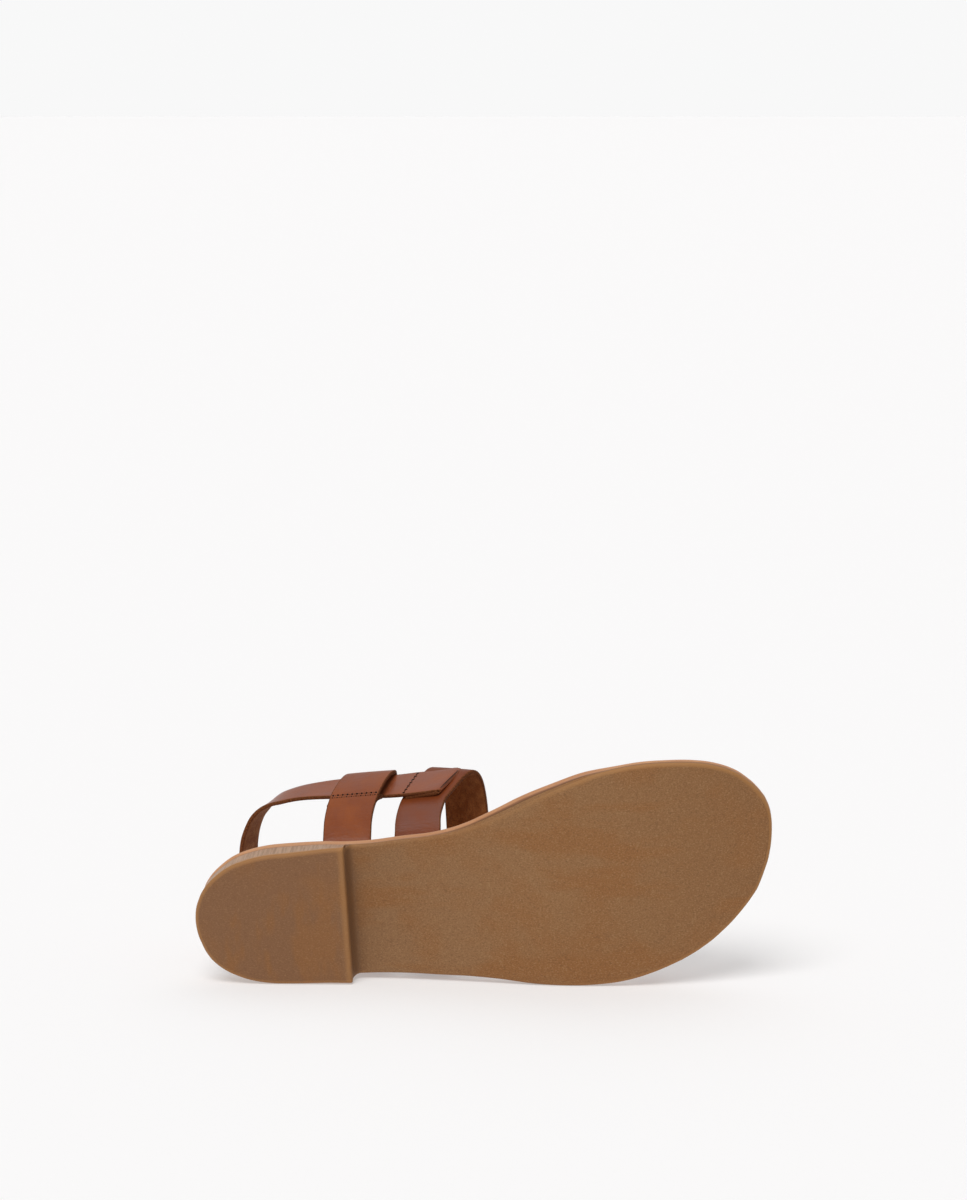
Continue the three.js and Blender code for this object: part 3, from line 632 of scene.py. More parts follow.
@dataclass(frozen=True)
class FleshSide:
    """Brown suede of the inner face of the straps."""

    base: Colour = (0.235, 0.076, 0.019)
    pale: Colour = (0.345, 0.132, 0.040)
    deep: Colour = (0.095, 0.032, 0.009)

    def make(self) -> bpy.types.Material:
        """Builds the material."""
        r = Recipe("strap_flesh_side")
        chart = r.chart("strap")
        patch = r.cloud(r.scaled(chart, (1, 1.4, 1)), 2.4, 4, 0.6)
        nap = r.cloud(r.scaled(chart, (1.0, 0.6, 1)), 22, 4, 0.75)
        base = r.blend(r.span(patch, 0.35, 0.66), self.base, self.pale)
        base = r.blend(r.span(nap, 0.52, 0.34, 0, 0.8), base, self.deep)
        base = r.blend(r.span(nap, 0.56, 0.72, 0, 0.5), base, self.pale)
        r.set(Base_Color=base, Roughness=0.92, Specular_IOR_Level=0.15)
        r.set(Sheen_Weight=0.06, Sheen_Roughness=0.5, Normal=r.relief(nap, 0.0004, 0.8))
        return r.material


@dataclass(frozen=True)
class PlainFinish:
    """Small parts of one colour with a light grain."""

    name: str
    low: Colour
    high: Colour
    roughness: float = 0.7
    scale: float = 3000.0

    def make(self) -> bpy.types.Material:
        """Builds the material."""
        r = Recipe(self.name)
        spot = r.coordinates("Object")
        grain = r.cloud(spot, self.scale, 2, 0.6)
        r.set(Base_Color=r.blend(r.span(grain, 0.35, 0.65), self.low, self.high))
        r.set(Roughness=self.roughness, Specular_IOR_Level=0.35, Normal=r.relief(grain, 0.00008, 0.7))
        return r.material


@dataclass(frozen=True)
class AgedBronze:
    """Dark bronze plate, rubbed brighter in patches."""

    dark: Colour = (0.042, 0.033, 0.024)
    worn: Colour = (0.210, 0.160, 0.100)

    def make(self) -> bpy.types.Material:
        """Builds the material."""
        r = Recipe("buckle_bronze")
        spot = r.coordinates("Object")
        patch = r.cloud(spot, 260, 4, 0.65)
        grain = r.cloud(spot, 2600, 3, 0.6)
        r.set(Base_Color=r.blend(r.span(patch, 0.44, 0.70), self.dark, self.worn))
        r.set(Metallic=0.95, Roughness=r.span(patch, 0.35, 0.65, 0.48, 0.30))
        r.set(Normal=r.relief(grain, 0.00005, 0.5))
        return r.material


class Hide(Enum):
    """The hides that the straps are cut from; the instep's is the strap leather made darker as painted shade.
    """

    QUARTER = "strap_leather"
    # Darker copy of the strap leather: painted shade on the instep strap.
    INSTEP = "instep_leather"
    ANKLE = "ankle_leather"


class Finishes:
    """Every material of the sandal, made once."""

    def __init__(self) -> None:
        """Makes the materials."""
        self.rubber = TreadRubber().make()
        self.stack = StackGrain().make()
        self.wrap = WrapLeather().make()
        # The instep leather is a darker copy of the strap leather, painted shade.
        instep = StrapGrain(Hide.INSTEP.value, (0.185, 0.041, 0.010), (0.210, 0.048, 0.010),
                            (0.152, 0.037, 0.014))
        ankle = StrapGrain(Hide.ANKLE.value, (0.250, 0.057, 0.013), (0.300, 0.074, 0.013),
                           (0.190, 0.047, 0.018), gloss=0.42, coat=0.16, creased_from=-1.0, creased_to=-2.0)
        self.grain = {
            Hide.QUARTER: StrapGrain(Hide.QUARTER.value).make(),
            Hide.INSTEP: instep.make(),
            Hide.ANKLE: ankle.make(),
        }
        self.edge = StrapEdge().make()
        self.flesh = FleshSide().make()
        # Near-black walls of the needle holes and footbed slots: painted shade inside them.
        self.pit = PlainFinish("hole_wall_painted_shade", (0.020, 0.007, 0.004), (0.040, 0.014, 0.008), 0.9).make()
        self.thread = PlainFinish("seam_thread", (0.150, 0.044, 0.016), (0.260, 0.080, 0.028), 0.6).make()
        self.dark_thread = PlainFinish("seam_thread_dark", (0.030, 0.009, 0.004), (0.075, 0.022, 0.009),
                                       0.6).make()
        self.bronze = AgedBronze().make()

    def strap_set(self, hide: Hide = Hide.QUARTER) -> list[bpy.types.Material]:
        """Finishes of a strap in the order of Side."""
        return [self.grain[hide], self.edge, self.flesh, self.pit]


# ---- shaping ----


class Side(Enum):
    """Which finish a face of a strap takes, by its place in the piece's list of finishes."""

    GRAIN = 0
    EDGE = 1
    FLESH = 2
    # Near-black walls of holes: painted shade.
    HOLE_SHADE = 3


def new_piece(name: str, work: bmesh.types.BMesh, finishes: Sequence[bpy.types.Material],
              sharp: float = 40.0) -> bpy.types.Object:
    """Turns finished mesh work into an object of the scene.

    Args:
        name: the piece's name.
        work: the mesh, which is freed.
        finishes: materials in the order that faces refer to them.
        sharp: angle in degrees from which an edge is shaded hard.

    Returns:
        The new object, at the origin of the row frame.
    """
    mesh = bpy.data.meshes.new(name)
    work.to_mesh(mesh)
    work.free()
    mesh.shade_smooth()
    mesh.set_sharp_from_angle(angle=math.radians(sharp))
    for finish in finishes:
        mesh.materials.append(finish)
    piece = bpy.data.objects.new(name, mesh)
    bpy.context.scene.collection.objects.link(piece)
    return piece


def settle(piece: bpy.types.Object, nodes: Sequence[str]) -> bpy.types.Object:
    """Lets a piece ride on the sandal's body and stand for its CAD solids.

    Args:
        piece: the finished piece.
        nodes: the CAD nodes that it stands for.

    Returns:
        The same piece.
    """
    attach(piece, "root")
    if nodes:
        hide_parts(*nodes)
    LOG.info("%s: %d faces", piece.name, len(piece.data.polygons))
    return piece


def cut(piece: bpy.types.Object, tool: bpy.types.Object, sharp: float = 40.0) -> None:
    """Takes a tool's shape out of a piece and throws the tool away.

    Args:
        piece: the piece that is cut.
        tool: closed solids that are taken out of it.
        sharp: angle in degrees from which an edge is shaded hard afterwards.
    """
    change = piece.modifiers.new("cut", "BOOLEAN")
    change.operation = "DIFFERENCE"
    change.solver = "EXACT"
    change.object = tool
    bpy.context.view_layer.update()
    seen = piece.evaluated_get(bpy.context.evaluated_depsgraph_get())
    mesh = bpy.data.meshes.new_from_object(seen)
    piece.modifiers.remove(change)
    old = piece.data
    piece.data = mesh
    bpy.data.meshes.remove(old)
    mesh.name = piece.name
    mesh.set_sharp_from_angle(angle=math.radians(sharp))
    spent = tool.data
    bpy.data.objects.remove(tool)
    bpy.data.meshes.remove(spent)


def spline(points: Sequence[Vector], row: int, part: float) -> Vector:
    """Centripetal curve through points.

    Args:
        points: the places that it passes through.
        row: the point that the stretch starts from.
        part: share of the stretch, 0 to 1.

    Returns:
        The place on the curve.
    """
    p1, p2 = points[row], points[row + 1]
    p0 = points[row - 1] if row > 0 else p1 * 2 - p2
    p3 = points[row + 2] if row + 2 < len(points) else p2 * 2 - p1
    gap1 = max((p2 - p1).length, 1e-9) ** 0.5
    gap0 = (p1 - p0).length ** 0.5
    gap2 = (p3 - p2).length ** 0.5
    gap0 = gap0 if gap0 > 1e-4 else gap1
    gap2 = gap2 if gap2 > 1e-4 else gap1
    out1 = ((p1 - p0) / gap0 - (p2 - p0) / (gap0 + gap1) + (p2 - p1) / gap1) * gap1
    out2 = ((p2 - p1) / gap1 - (p3 - p1) / (gap1 + gap2) + (p3 - p2) / gap2) * gap1
    a = 2 * p1 - 2 * p2 + out1 + out2
    b = 3 * p2 - 3 * p1 - 2 * out1 - out2
    return ((a * part + b) * part + out1) * part + p1


@dataclass
class Frame:
    """One cross-section of a strap: its middle on the smooth face and its directions."""

    middle: Vector
    along: Vector
    half: Vector
    inward: Vector

    def spot(self, across: float, depth: float) -> Vector:
        """Place at a share across the strap, -1 to 1, and a depth below the smooth face."""
        return self.middle + self.half * across + self.inward * depth


class Path:
    """Run of a strap through its table, measured along its smooth face."""

    CUTS = 24

    def __init__(self, rows: Sequence[Row], width: float, turned: int) -> None:
        """Measures the run.

        Args:
            rows: the strap's table.
            width: its width.
            turned: 1 or -1, the side of the run on which the leather's thickness lies.
        """
        self.middles = [Vector(row[:3]) for row in rows]
        self.sides = [Vector(row[3:]) for row in rows]
        self.width = width
        self.turned = turned
        self.marks: list[tuple[float, int, float]] = [(0.0, 0, 0.0)]
        last = self.middles[0]
        for row in range(len(rows) - 1):
            for cut_ in range(1, self.CUTS + 1):
                here = spline(self.middles, row, cut_ / self.CUTS)
                self.marks.append((self.marks[-1][0] + (here - last).length, row, cut_ / self.CUTS))
                last = here
        self.length = self.marks[-1][0]

    def locate(self, run: float) -> tuple[int, float]:
        """Row and part of the stretch at a length along the run.

        Args:
            run: length along the run in millimetres.

        Returns:
            The row and the share of its stretch.
        """
        low, high = 0, len(self.marks) - 1
        while high - low > 1:
            middle = (low + high) // 2
            low, high = (middle, high) if self.marks[middle][0] <= run else (low, middle)
        before, after = self.marks[low], self.marks[high]
        share = (run - before[0]) / max(after[0] - before[0], 1e-9)
        start = before[2] if before[1] == after[1] else 0.0
        return after[1], start + min(max(share, 0.0), 1.0) * (after[2] - start)

    def at(self, run: float) -> Frame:
        """Cross-section at a length along the run.

        Args:
            run: length along the run in millimetres.

        Returns:
            The section there.
        """
        row, part = self.locate(min(max(run, 0.0), self.length))
        low, high = max(part - 0.02, 0.0), min(part + 0.02, 1.0)
        along = (spline(self.middles, row, high) - spline(self.middles, row, low)).normalized()
        side = spline(self.sides, row, part).normalized()
        normal = side.cross(along) * self.turned
        slant = normal.length
        middle = spline(self.middles, row, part)
        return Frame(middle, along, side * (0.5 * self.width / slant), normal / slant)


@dataclass
class Strap:
    """Flat leather strap with rounded edges, swept through its table."""

    name: str
    rows: list[Row]
    width: float
    thickness: float
    turned: int = 1
    step: float = 1.3
    corner: float = 0.5
    crown: float = 0.12
    tip: float = 0.0
    columns: int = 8
    lip: float = 0.35
    hide: Hide = Hide.QUARTER
    path: Path = field(init=False)

    def __post_init__(self) -> None:
        """Measures the run once the sizes are known."""
        self.path = Path(self.rows, self.width, self.turned)

    def section(self) -> list[tuple[float, float, Side]]:
        """Profile of the strap as distance from the middle, depth, and the finish up to the next point.

        Returns:
            The closed profile, smooth face first.
        """
        half, deep, r = 0.5 * self.width, self.thickness, self.corner
        flat = half - r
        points: list[tuple[float, float, Side]] = []
        for i in range(self.columns + 1):
            across = -flat + 2 * flat * i / self.columns
            side = Side.GRAIN if i < self.columns else Side.EDGE
            points.append((across, 0.0, side))
        for degrees in (30, 60, 90):
            turn = math.radians(degrees)
            points.append((flat + r * math.sin(turn), r * (1 - math.cos(turn)), Side.EDGE))
        for degrees in (0, 45, 90):
            turn = math.radians(degrees)
            side = Side.FLESH if degrees == 90 else Side.EDGE
            points.append((flat + r * math.cos(turn), deep - r * (1 - math.sin(turn)), side))
        for i in range(1, self.columns // 2 + 1):
            across = flat - 2 * flat * i / (self.columns // 2)
            side = Side.FLESH if i < self.columns // 2 else Side.EDGE
            points.append((across, deep, side))
        for degrees in (45, 90):
            turn = math.radians(degrees)
            points.append((-flat - r * math.sin(turn), deep - r * (1 - math.cos(turn)), Side.EDGE))
        for degrees in (90, 60, 30):
            turn = math.radians(degrees)
            points.append((-flat - r * math.sin(turn), r * (1 - math.cos(turn)), Side.EDGE))
        return points

    def narrowing(self, run: float) -> float:
        """Share of the full width at a length along the run, less than 1 near a rounded tip.

        Args:
            run: length along the run.

        Returns:
            The share.
        """
        left = self.path.length - run
        if self.tip <= 0 or left >= self.tip:
            return 1.0
        return max(0.12, math.sqrt(max(0.0, 1 - (1 - left / self.tip) ** 2)))

    def runs(self) -> list[float]:
        """Lengths along the run at which the strap has a cross-section, both ends closer together."""
        count = max(4, round(self.path.length / self.step))
        marks = [self.path.length * i / count for i in range(count + 1)]
        end = self.path.length
        near_start = [0.0, self.lip * 0.4, self.lip]
        near_end = [end - self.lip, end - self.lip * 0.4, end]
        marks = near_start + marks[1:-1] + near_end
        if self.tip > 0:
            marks += [self.path.length - self.tip * part for part in (0.9, 0.7, 0.5, 0.35, 0.22, 0.12, 0.06)]
        return sorted(set(round(mark, 4) for mark in marks))

    def mesh(self, pose: Pose) -> bmesh.types.BMesh:
        """Sweeps the profile along the run.

        Args:
            pose: how the shoe lies.

        Returns:
            The closed mesh with its strap and edge charts.
        """
        work = bmesh.new()
        strap_chart = work.loops.layers.uv.new("strap")
        edge_chart = work.loops.layers.uv.new("edge")
        profile = self.section()
        half = 0.5 * self.width
        rings: list[list[bmesh.types.BMVert]] = []
        runs = self.runs()
        for run in runs:
            frame = self.path.at(run)
            shrink = self.narrowing(run)
            lip = min(run, self.path.length - run, self.lip)
            rounded = self.tip == 0 or run < 1
            sunk = 0.3 * (1 - math.sqrt(max(0.0, 1 - (1 - lip / self.lip) ** 2))) if rounded else 0.0
            ring = []
            for across, depth, _ in profile:
                wave = 0.10 * noise.noise(Vector((run * 0.09, 7.0 if across > 0 else -7.0, self.width)))
                spread = across * shrink + (wave if abs(across) > half - 2 * self.corner else 0.0)
                rise = self.crown * (across / half) ** 2 * (1 - depth / self.thickness)
                middle_depth = 0.5 * self.thickness
                deep = middle_depth + (depth - middle_depth) * (1 - 0.5 * sunk) + rise
                ring.append(work.verts.new(pose.carry(frame.spot(spread / half, deep))))
            rings.append(ring)
        count = len(profile)
        around = [0.0]
        for i in range(count):
            a, b = profile[i], profile[(i + 1) % count]
            around.append(around[-1] + math.hypot(b[0] - a[0], b[1] - a[1]))
        for k in range(len(rings) - 1):
            for i in range(count):
                j = (i + 1) % count
                face = work.faces.new((rings[k][i], rings[k + 1][i], rings[k + 1][j], rings[k][j]))
                face.material_index = profile[i][2].value
                corners = ((k, i, i), (k + 1, i, i), (k + 1, j, i + 1), (k, j, i + 1))
                for loop, (ring_no, point, walked) in zip(face.loops, corners):
                    loop[strap_chart].uv = (runs[ring_no] * 0.1, around[walked] * 0.1)
                    loop[edge_chart].uv = (half - abs(profile[point][0]), 0.0)
        for ring in (rings[0], rings[-1]):
            self.close_end(work, ring, profile, (strap_chart, edge_chart))
        bmesh.ops.recalc_face_normals(work, faces=work.faces)
        return work

    def close_end(self, work: bmesh.types.BMesh, ring: list[bmesh.types.BMVert],
                  profile: list[tuple[float, float, Side]],
                  charts: tuple[bmesh.types.BMLayerItem, bmesh.types.BMLayerItem]) -> None:
        """Fills a cut end of the strap.

        Args:
            work: the mesh.
            ring: the end's vertices.
            profile: the profile that they follow.
            charts: the strap and edge charts.
        """
        face = work.faces.new(ring)
        face.material_index = Side.EDGE.value
        for loop, (across, depth, _) in zip(face.loops, profile):
            loop[charts[0]].uv = (depth * 0.1, across * 0.1)
            loop[charts[1]].uv = (0.2, 0.0)
        bmesh.ops.triangulate(work, faces=[face])

    def build(self, pose: Pose, finishes: Finishes) -> bpy.types.Object:
        """Makes the strap as an object."""
        return new_piece(self.name, self.mesh(pose), finishes.strap_set(self.hide))

    def surface(self, run: float, across: float) -> tuple[Vector, Vector, Vector, Vector]:
        """Place on the smooth face with its directions.

        Args:
            run: length along the strap.
            across: millimetres from the middle, towards the side direction.

        Returns:
            Place, direction along, direction across and direction out of the leather.
        """
        frame = self.path.at(run)
        side = frame.half.normalized()
        share = across / (0.5 * self.width)
        place = frame.spot(share, self.crown * share * share)
        return place, frame.along, side, -frame.inward


@dataclass
class Seam:
    """Row of stitches across or along a strap's smooth face."""

    strap: Strap
    start: tuple[float, float]
    end: tuple[float, float]
    pitch: float = 1.9
    gap: float = 0.55
    thread: float = 0.24
    pit: float = 0.34
    sink: float = 0.0

    def stations(self) -> list[tuple[Vector, Vector, Vector]]:
        """Middle, direction and outward direction of each stitch.

        Returns:
            One entry for each stitch, in shoe places.
        """
        run_span = self.end[0] - self.start[0]
        across_span = self.end[1] - self.start[1]
        count = max(1, round(math.hypot(run_span, across_span) / self.pitch))
        found = []
        for i in range(count):
            share = (i + 0.5) / count
            run, across = self.start[0] + run_span * share, self.start[1] + across_span * share
            place, along, side, out = self.strap.surface(run, across)
            way = (along * run_span + side * across_span).normalized()
            found.append((place, way, out))
        return found

    def threads(self, work: bmesh.types.BMesh, pose: Pose) -> None:
        """Adds the threads, each a short bead that dives into the leather at both ends.

        Args:
            work: the mesh that receives them.
            pose: how the shoe lies.
        """
        reach = 0.5 * (self.pitch - self.gap)
        for place, way, out in self.stations():
            cross = out.cross(way)
            rings = []
            for share in (-1.0, -0.8, -0.45, 0.0, 0.45, 0.8, 1.0):
                lift = 0.14 * (1 - share * share) - 0.32 * share ** 4 - self.sink
                thick = self.thread * math.sqrt(max(0.05, 1 - 0.75 * share ** 4))
                centre = place + way * (reach * share) + out * lift
                ring = []
                for k in range(8):
                    turn = math.tau * k / 8
                    offset = cross * (thick * math.cos(turn)) + out * (thick * math.sin(turn))
                    ring.append(work.verts.new(pose.carry(centre + offset)))
                rings.append(ring)
            join_rings(work, rings)

    def pits(self, work: bmesh.types.BMesh, pose: Pose) -> None:
        """Adds a small ball at each needle hole, to be cut out of the leather.

        Args:
            work: the mesh that receives them.
            pose: how the shoe lies.
        """
        stations = self.stations()
        pitch = (stations[1][0] - stations[0][0]).length if len(stations) > 1 else self.pitch
        ends = [(place - way * (0.5 * pitch), way, out) for place, way, out in stations]
        place, way, out = stations[-1]
        ends.append((place + way * (0.5 * pitch), way, out))
        for centre, way, out in ends:
            cross = out.cross(way)
            rings = []
            for degrees in (-80, -45, 0, 45, 80):
                tilt = math.radians(degrees)
                ring = []
                for k in range(8):
                    turn = math.tau * (k + 0.5) / 8
                    flat = way * math.cos(turn) * 0.75 + cross * math.sin(turn)
                    offset = flat * (self.pit * math.cos(tilt)) + out * (self.pit * 1.25 * math.sin(tilt))
                    ring.append(work.verts.new(pose.carry(centre + offset)))
                rings.append(ring)
            join_rings(work, rings)


def join_rings(work: bmesh.types.BMesh, rings: list[list[bmesh.types.BMVert]], closed: bool = False) -> None:
    """Walls between rings of equal count, with fans over both ends unless it closes on itself.

    Args:
        work: the mesh.
        rings: the rings in order.
        closed: whether the last ring meets the first.
    """
    count = len(rings[0])
    pairs = list(zip(rings, rings[1:])) + ([(rings[-1], rings[0])] if closed else [])
    faces = []
    for low, high in pairs:
        for i in range(count):
            j = (i + 1) % count
            faces.append(work.faces.new((low[i], low[j], high[j], high[i])))
    if not closed:
        faces.append(work.faces.new(list(reversed(rings[0]))))
        faces.append(work.faces.new(rings[-1]))
    bmesh.ops.recalc_face_normals(work, faces=faces)


def sew(name: str, piece: bpy.types.Object, seams: Sequence[Seam], pose: Pose, finishes: Finishes,
        thread: bpy.types.Material) -> bpy.types.Object:
    """Cuts the needle holes of some seams into a strap and lays their threads.

    Args:
        name: name of the threads' piece.
        piece: the strap.
        seams: its rows of stitches.
        pose: how the shoe lies.
        finishes: the materials.
        thread: the material of the thread.

    Returns:
        The threads as one object.
    """
    holes = bmesh.new()
    beads = bmesh.new()
    for seam in seams:
        seam.pits(holes, pose)
        seam.threads(beads, pose)
    # The walls of the needle holes take the near-black finish, painted shade.
    for face in holes.faces:
        face.material_index = Side.HOLE_SHADE.value
    cut(piece, new_piece(name + "_holes", holes, finishes.strap_set()))
    return new_piece(name, beads, [thread], 60)


@dataclass
class Outline:
    """Plan of the sole, with its heights."""

    length: float = 249.4
    thickness: float = 3.0
    lift: float = 11.0
    breast_start: float = 65.0
    breast_end: float = 68.4
    breast_round: float = 1.1
    ball_back: float = 165.0
    ball_front: float = 185.0
    spring: float = 8.0
    stations: int = 150

    def angle(self, x: float) -> float:
        """Angle that runs evenly round the ends of the sole."""
        return math.acos(1 - 2 * min(1.0, max(0.0, x / self.length)))

    def edge(self, angle: float, column: int) -> float:
        """Half outline at an angle.

        Args:
            angle: 0 at the heel to pi at the toe.
            column: 1 for the inner edge, 2 for the outer edge.

        Returns:
            How far the edge is towards the inner side.
        """
        last = len(OUTLINE) - 1
        row = 0
        while row < last - 1 and angle > self.angle(OUTLINE[row + 1][0]):
            row += 1
        start, stop = self.angle(OUTLINE[row][0]), self.angle(OUTLINE[row + 1][0])
        part = min(1.0, max(0.0, (angle - start) / (stop - start)))
        other = 3 - column
        p0 = OUTLINE[1][other] if row == 0 else OUTLINE[row - 1][column]
        p1, p2 = OUTLINE[row][column], OUTLINE[row + 1][column]
        p3 = OUTLINE[last - 1][other] if row == last - 1 else OUTLINE[row + 2][column]
        b, c, d = p2 - p0, 2 * p0 - 5 * p1 + 4 * p2 - p3, -p0 + 3 * p1 - 3 * p2 + p3
        return 0.5 * (2 * p1 + b * part + c * part ** 2 + d * part ** 3)

    def shank(self, x: float) -> float:
        """Height of the underside of the waist and forepart, as if the heel weren't there.

        Args:
            x: place along the sole.

        Returns:
            The height.
        """
        if x <= self.breast_end:
            return self.lift
        if x < self.ball_back:
            q = (x - self.breast_end) / (self.ball_back - self.breast_end)
            return self.lift * (1 - q) ** 2 * (1 + 2 * q)
        if x <= self.ball_front:
            return 0.0
        return self.spring * ((x - self.ball_front) / (self.length - self.ball_front)) ** 2

    def tread(self, x: float) -> float:
        """Height of the tread, with the heel block, its rounded edge and its hollowed breast.

        Args:
            x: place along the sole.

        Returns:
            The height.
        """
        if x <= self.breast_start - self.breast_round:
            return 0.0
        if x <= self.breast_start:
            q = (x - self.breast_start + self.breast_round) / self.breast_round
            return self.breast_round * (1 - math.sqrt(max(0.0, 1 - q * q)))
        if x >= self.breast_end:
            return self.shank(x)
        q = (x - self.breast_start) / (self.breast_end - self.breast_start)
        low = self.breast_round
        return low + (self.lift - low) * math.sqrt(1 - (1 - q) ** 2)

    def places(self) -> list[float]:
        """Stations along the sole, with more of them at the heel's breast."""
        turns = [math.pi * i / self.stations for i in range(self.stations + 1)]
        even = [self.length / 2 * (1 - math.cos(turn)) for turn in turns]
        kept = [x for x in even if x < self.breast_start - 2.2 or x > self.breast_end + 1.4]
        span = self.breast_end - self.breast_start
        before = (1.8, 1.3, 1, 0.85, 0.65, 0.4, 0.2, 0.07, 0)
        kept += [self.breast_start - self.breast_round * part for part in before]
        after = (0.01, 0.03, 0.07, 0.14, 0.24, 0.38, 0.56, 0.78, 1, 1.2)
        kept += [self.breast_start + span * part for part in after]
        return sorted(kept)

    def loop(self) -> list[tuple[float, float, float, float, int]]:
        """The edge as one loop: x, m, outward direction, and its side, inner edge first.

        Returns:
            The loop's points from the heel round the inner side to the toe and back.
        """
        xs = self.places()
        points = [(x, self.edge(self.angle(x), 1), 1) for x in xs]
        points += [(x, self.edge(self.angle(x), 2), 2) for x in reversed(xs[1:-1])]
        count = len(points)
        found = []
        for i, (x, m, side) in enumerate(points):
            before, after = points[i - 1], points[(i + 1) % count]
            dx, dm = after[0] - before[0], after[1] - before[1]
            length = math.hypot(dx, dm)
            found.append((x, m, -dm / length, dx / length, side))
        return found


class Slab:
    """Closed body whose edge follows the outline through a profile, with gridded faces."""

    def __init__(self, outline: Outline, pose: Pose) -> None:
        """Starts an empty body.

        Args:
            outline: the edge of the sole.
            pose: how the shoe lies.
        """
        self.outline = outline
        self.pose = pose
        self.loop = outline.loop()
        self.work = bmesh.new()
        self.side_chart = self.work.loops.layers.uv.new("side")
        self.rim_chart = self.work.loops.layers.uv.new("rim")
        self.walk = [0.0]
        for a, b in zip(self.loop, self.loop[1:] + self.loop[:1]):
            self.walk.append(self.walk[-1] + math.hypot(b[0] - a[0], b[1] - a[1]))

    def ring(self, spread: Callable[[float, int], float],
             rise: Callable[[float], float]) -> list[bmesh.types.BMVert]:
        """Ring of vertices round the edge.

        Args:
            spread: outward move at an x and a side.
            rise: height at an x.

        Returns:
            The ring's vertices.
        """
        made = []
        for x, m, nx, nm, side in self.loop:
            out = spread(x, side)
            made.append(self.work.verts.new(self.pose.spot(x + nx * out, m + nm * out, rise(x))))
        return made

    def wall(self, low: list[bmesh.types.BMVert], high: list[bmesh.types.BMVert],
             finish: Callable[[float], int], heights: tuple[float, float], rims: tuple[float, float]) -> None:
        """Faces between two rings.

        Args:
            low: the first ring.
            high: the second ring.
            finish: number of the finish at an x.
            heights: chart heights of the rings.
            rims: distances from the rim of the rings.
        """
        count = len(low)
        for i in range(count):
            j = (i + 1) % count
            face = self.work.faces.new((low[i], low[j], high[j], high[i]))
            face.material_index = finish(0.5 * (self.loop[i][0] + self.loop[j][0]))
            corners = ((i, 0), (i + 1, 0), (i + 1, 1), (i, 1))
            for loop, (step, level) in zip(face.loops, corners):
                loop[self.side_chart].uv = (self.walk[step], heights[level])
                loop[self.rim_chart].uv = (rims[level], self.loop[step % count][0])

    def lid(self, ring: list[bmesh.types.BMVert], rise: Callable[[float], float], columns: int, rim: float,
            finish: int = 0) -> None:
        """Gridded face inside a ring, straight across from edge to edge.

        Args:
            ring: the ring that it fills.
            rise: height at an x.
            columns: cells across.
            rim: distance of the ring from the rim.
            finish: number of the finish.
        """
        count = len(ring)
        half = count // 2
        back = self.pose.turn.inverted()
        rows: list[list[bmesh.types.BMVert]] = [[ring[0]] * (columns + 1)]
        gaps: list[list[float]] = [[rim] * (columns + 1)]
        for i in range(1, half):
            inner, outer = ring[i], ring[count - i]
            width = (inner.co - outer.co).length / MM
            row, gap = [inner], [rim]
            for k in range(1, columns):
                share = k / columns
                flat = inner.co.lerp(outer.co, share)
                place = back @ (flat - self.pose.origin) / MM
                place.z = rise(place.x)
                row.append(self.work.verts.new(self.pose.carry(place)))
                ends = min(place.x, self.outline.length - place.x)
                gap.append(rim + min(share * width, (1 - share) * width, ends))
            rows.append(row + [outer])
            gaps.append(gap + [rim])
        rows.append([ring[half]] * (columns + 1))
        gaps.append([rim] * (columns + 1))
        for i in range(half):
            for k in range(columns):
                corners = [(i, k), (i + 1, k), (i + 1, k + 1), (i, k + 1)]
                kept = []
                for corner in corners:
                    vert = rows[corner[0]][corner[1]]
                    if all(vert is not rows[a][b] for a, b in kept):
                        kept.append(corner)
                if len(kept) < 3:
                    continue
                face = self.work.faces.new([rows[a][b] for a, b in kept])
                face.material_index = finish
                for loop, (a, b) in zip(face.loops, kept):
                    loop[self.side_chart].uv = (0.0, 9.0)
                    loop[self.rim_chart].uv = (gaps[a][b], self.loop[a][0])

    def finish(self, name: str, finishes: Sequence[bpy.types.Material], sharp: float) -> bpy.types.Object:
        """Closes the body and makes it an object."""
        bmesh.ops.recalc_face_normals(self.work, faces=self.work.faces)
        return new_piece(name, self.work, finishes, sharp)


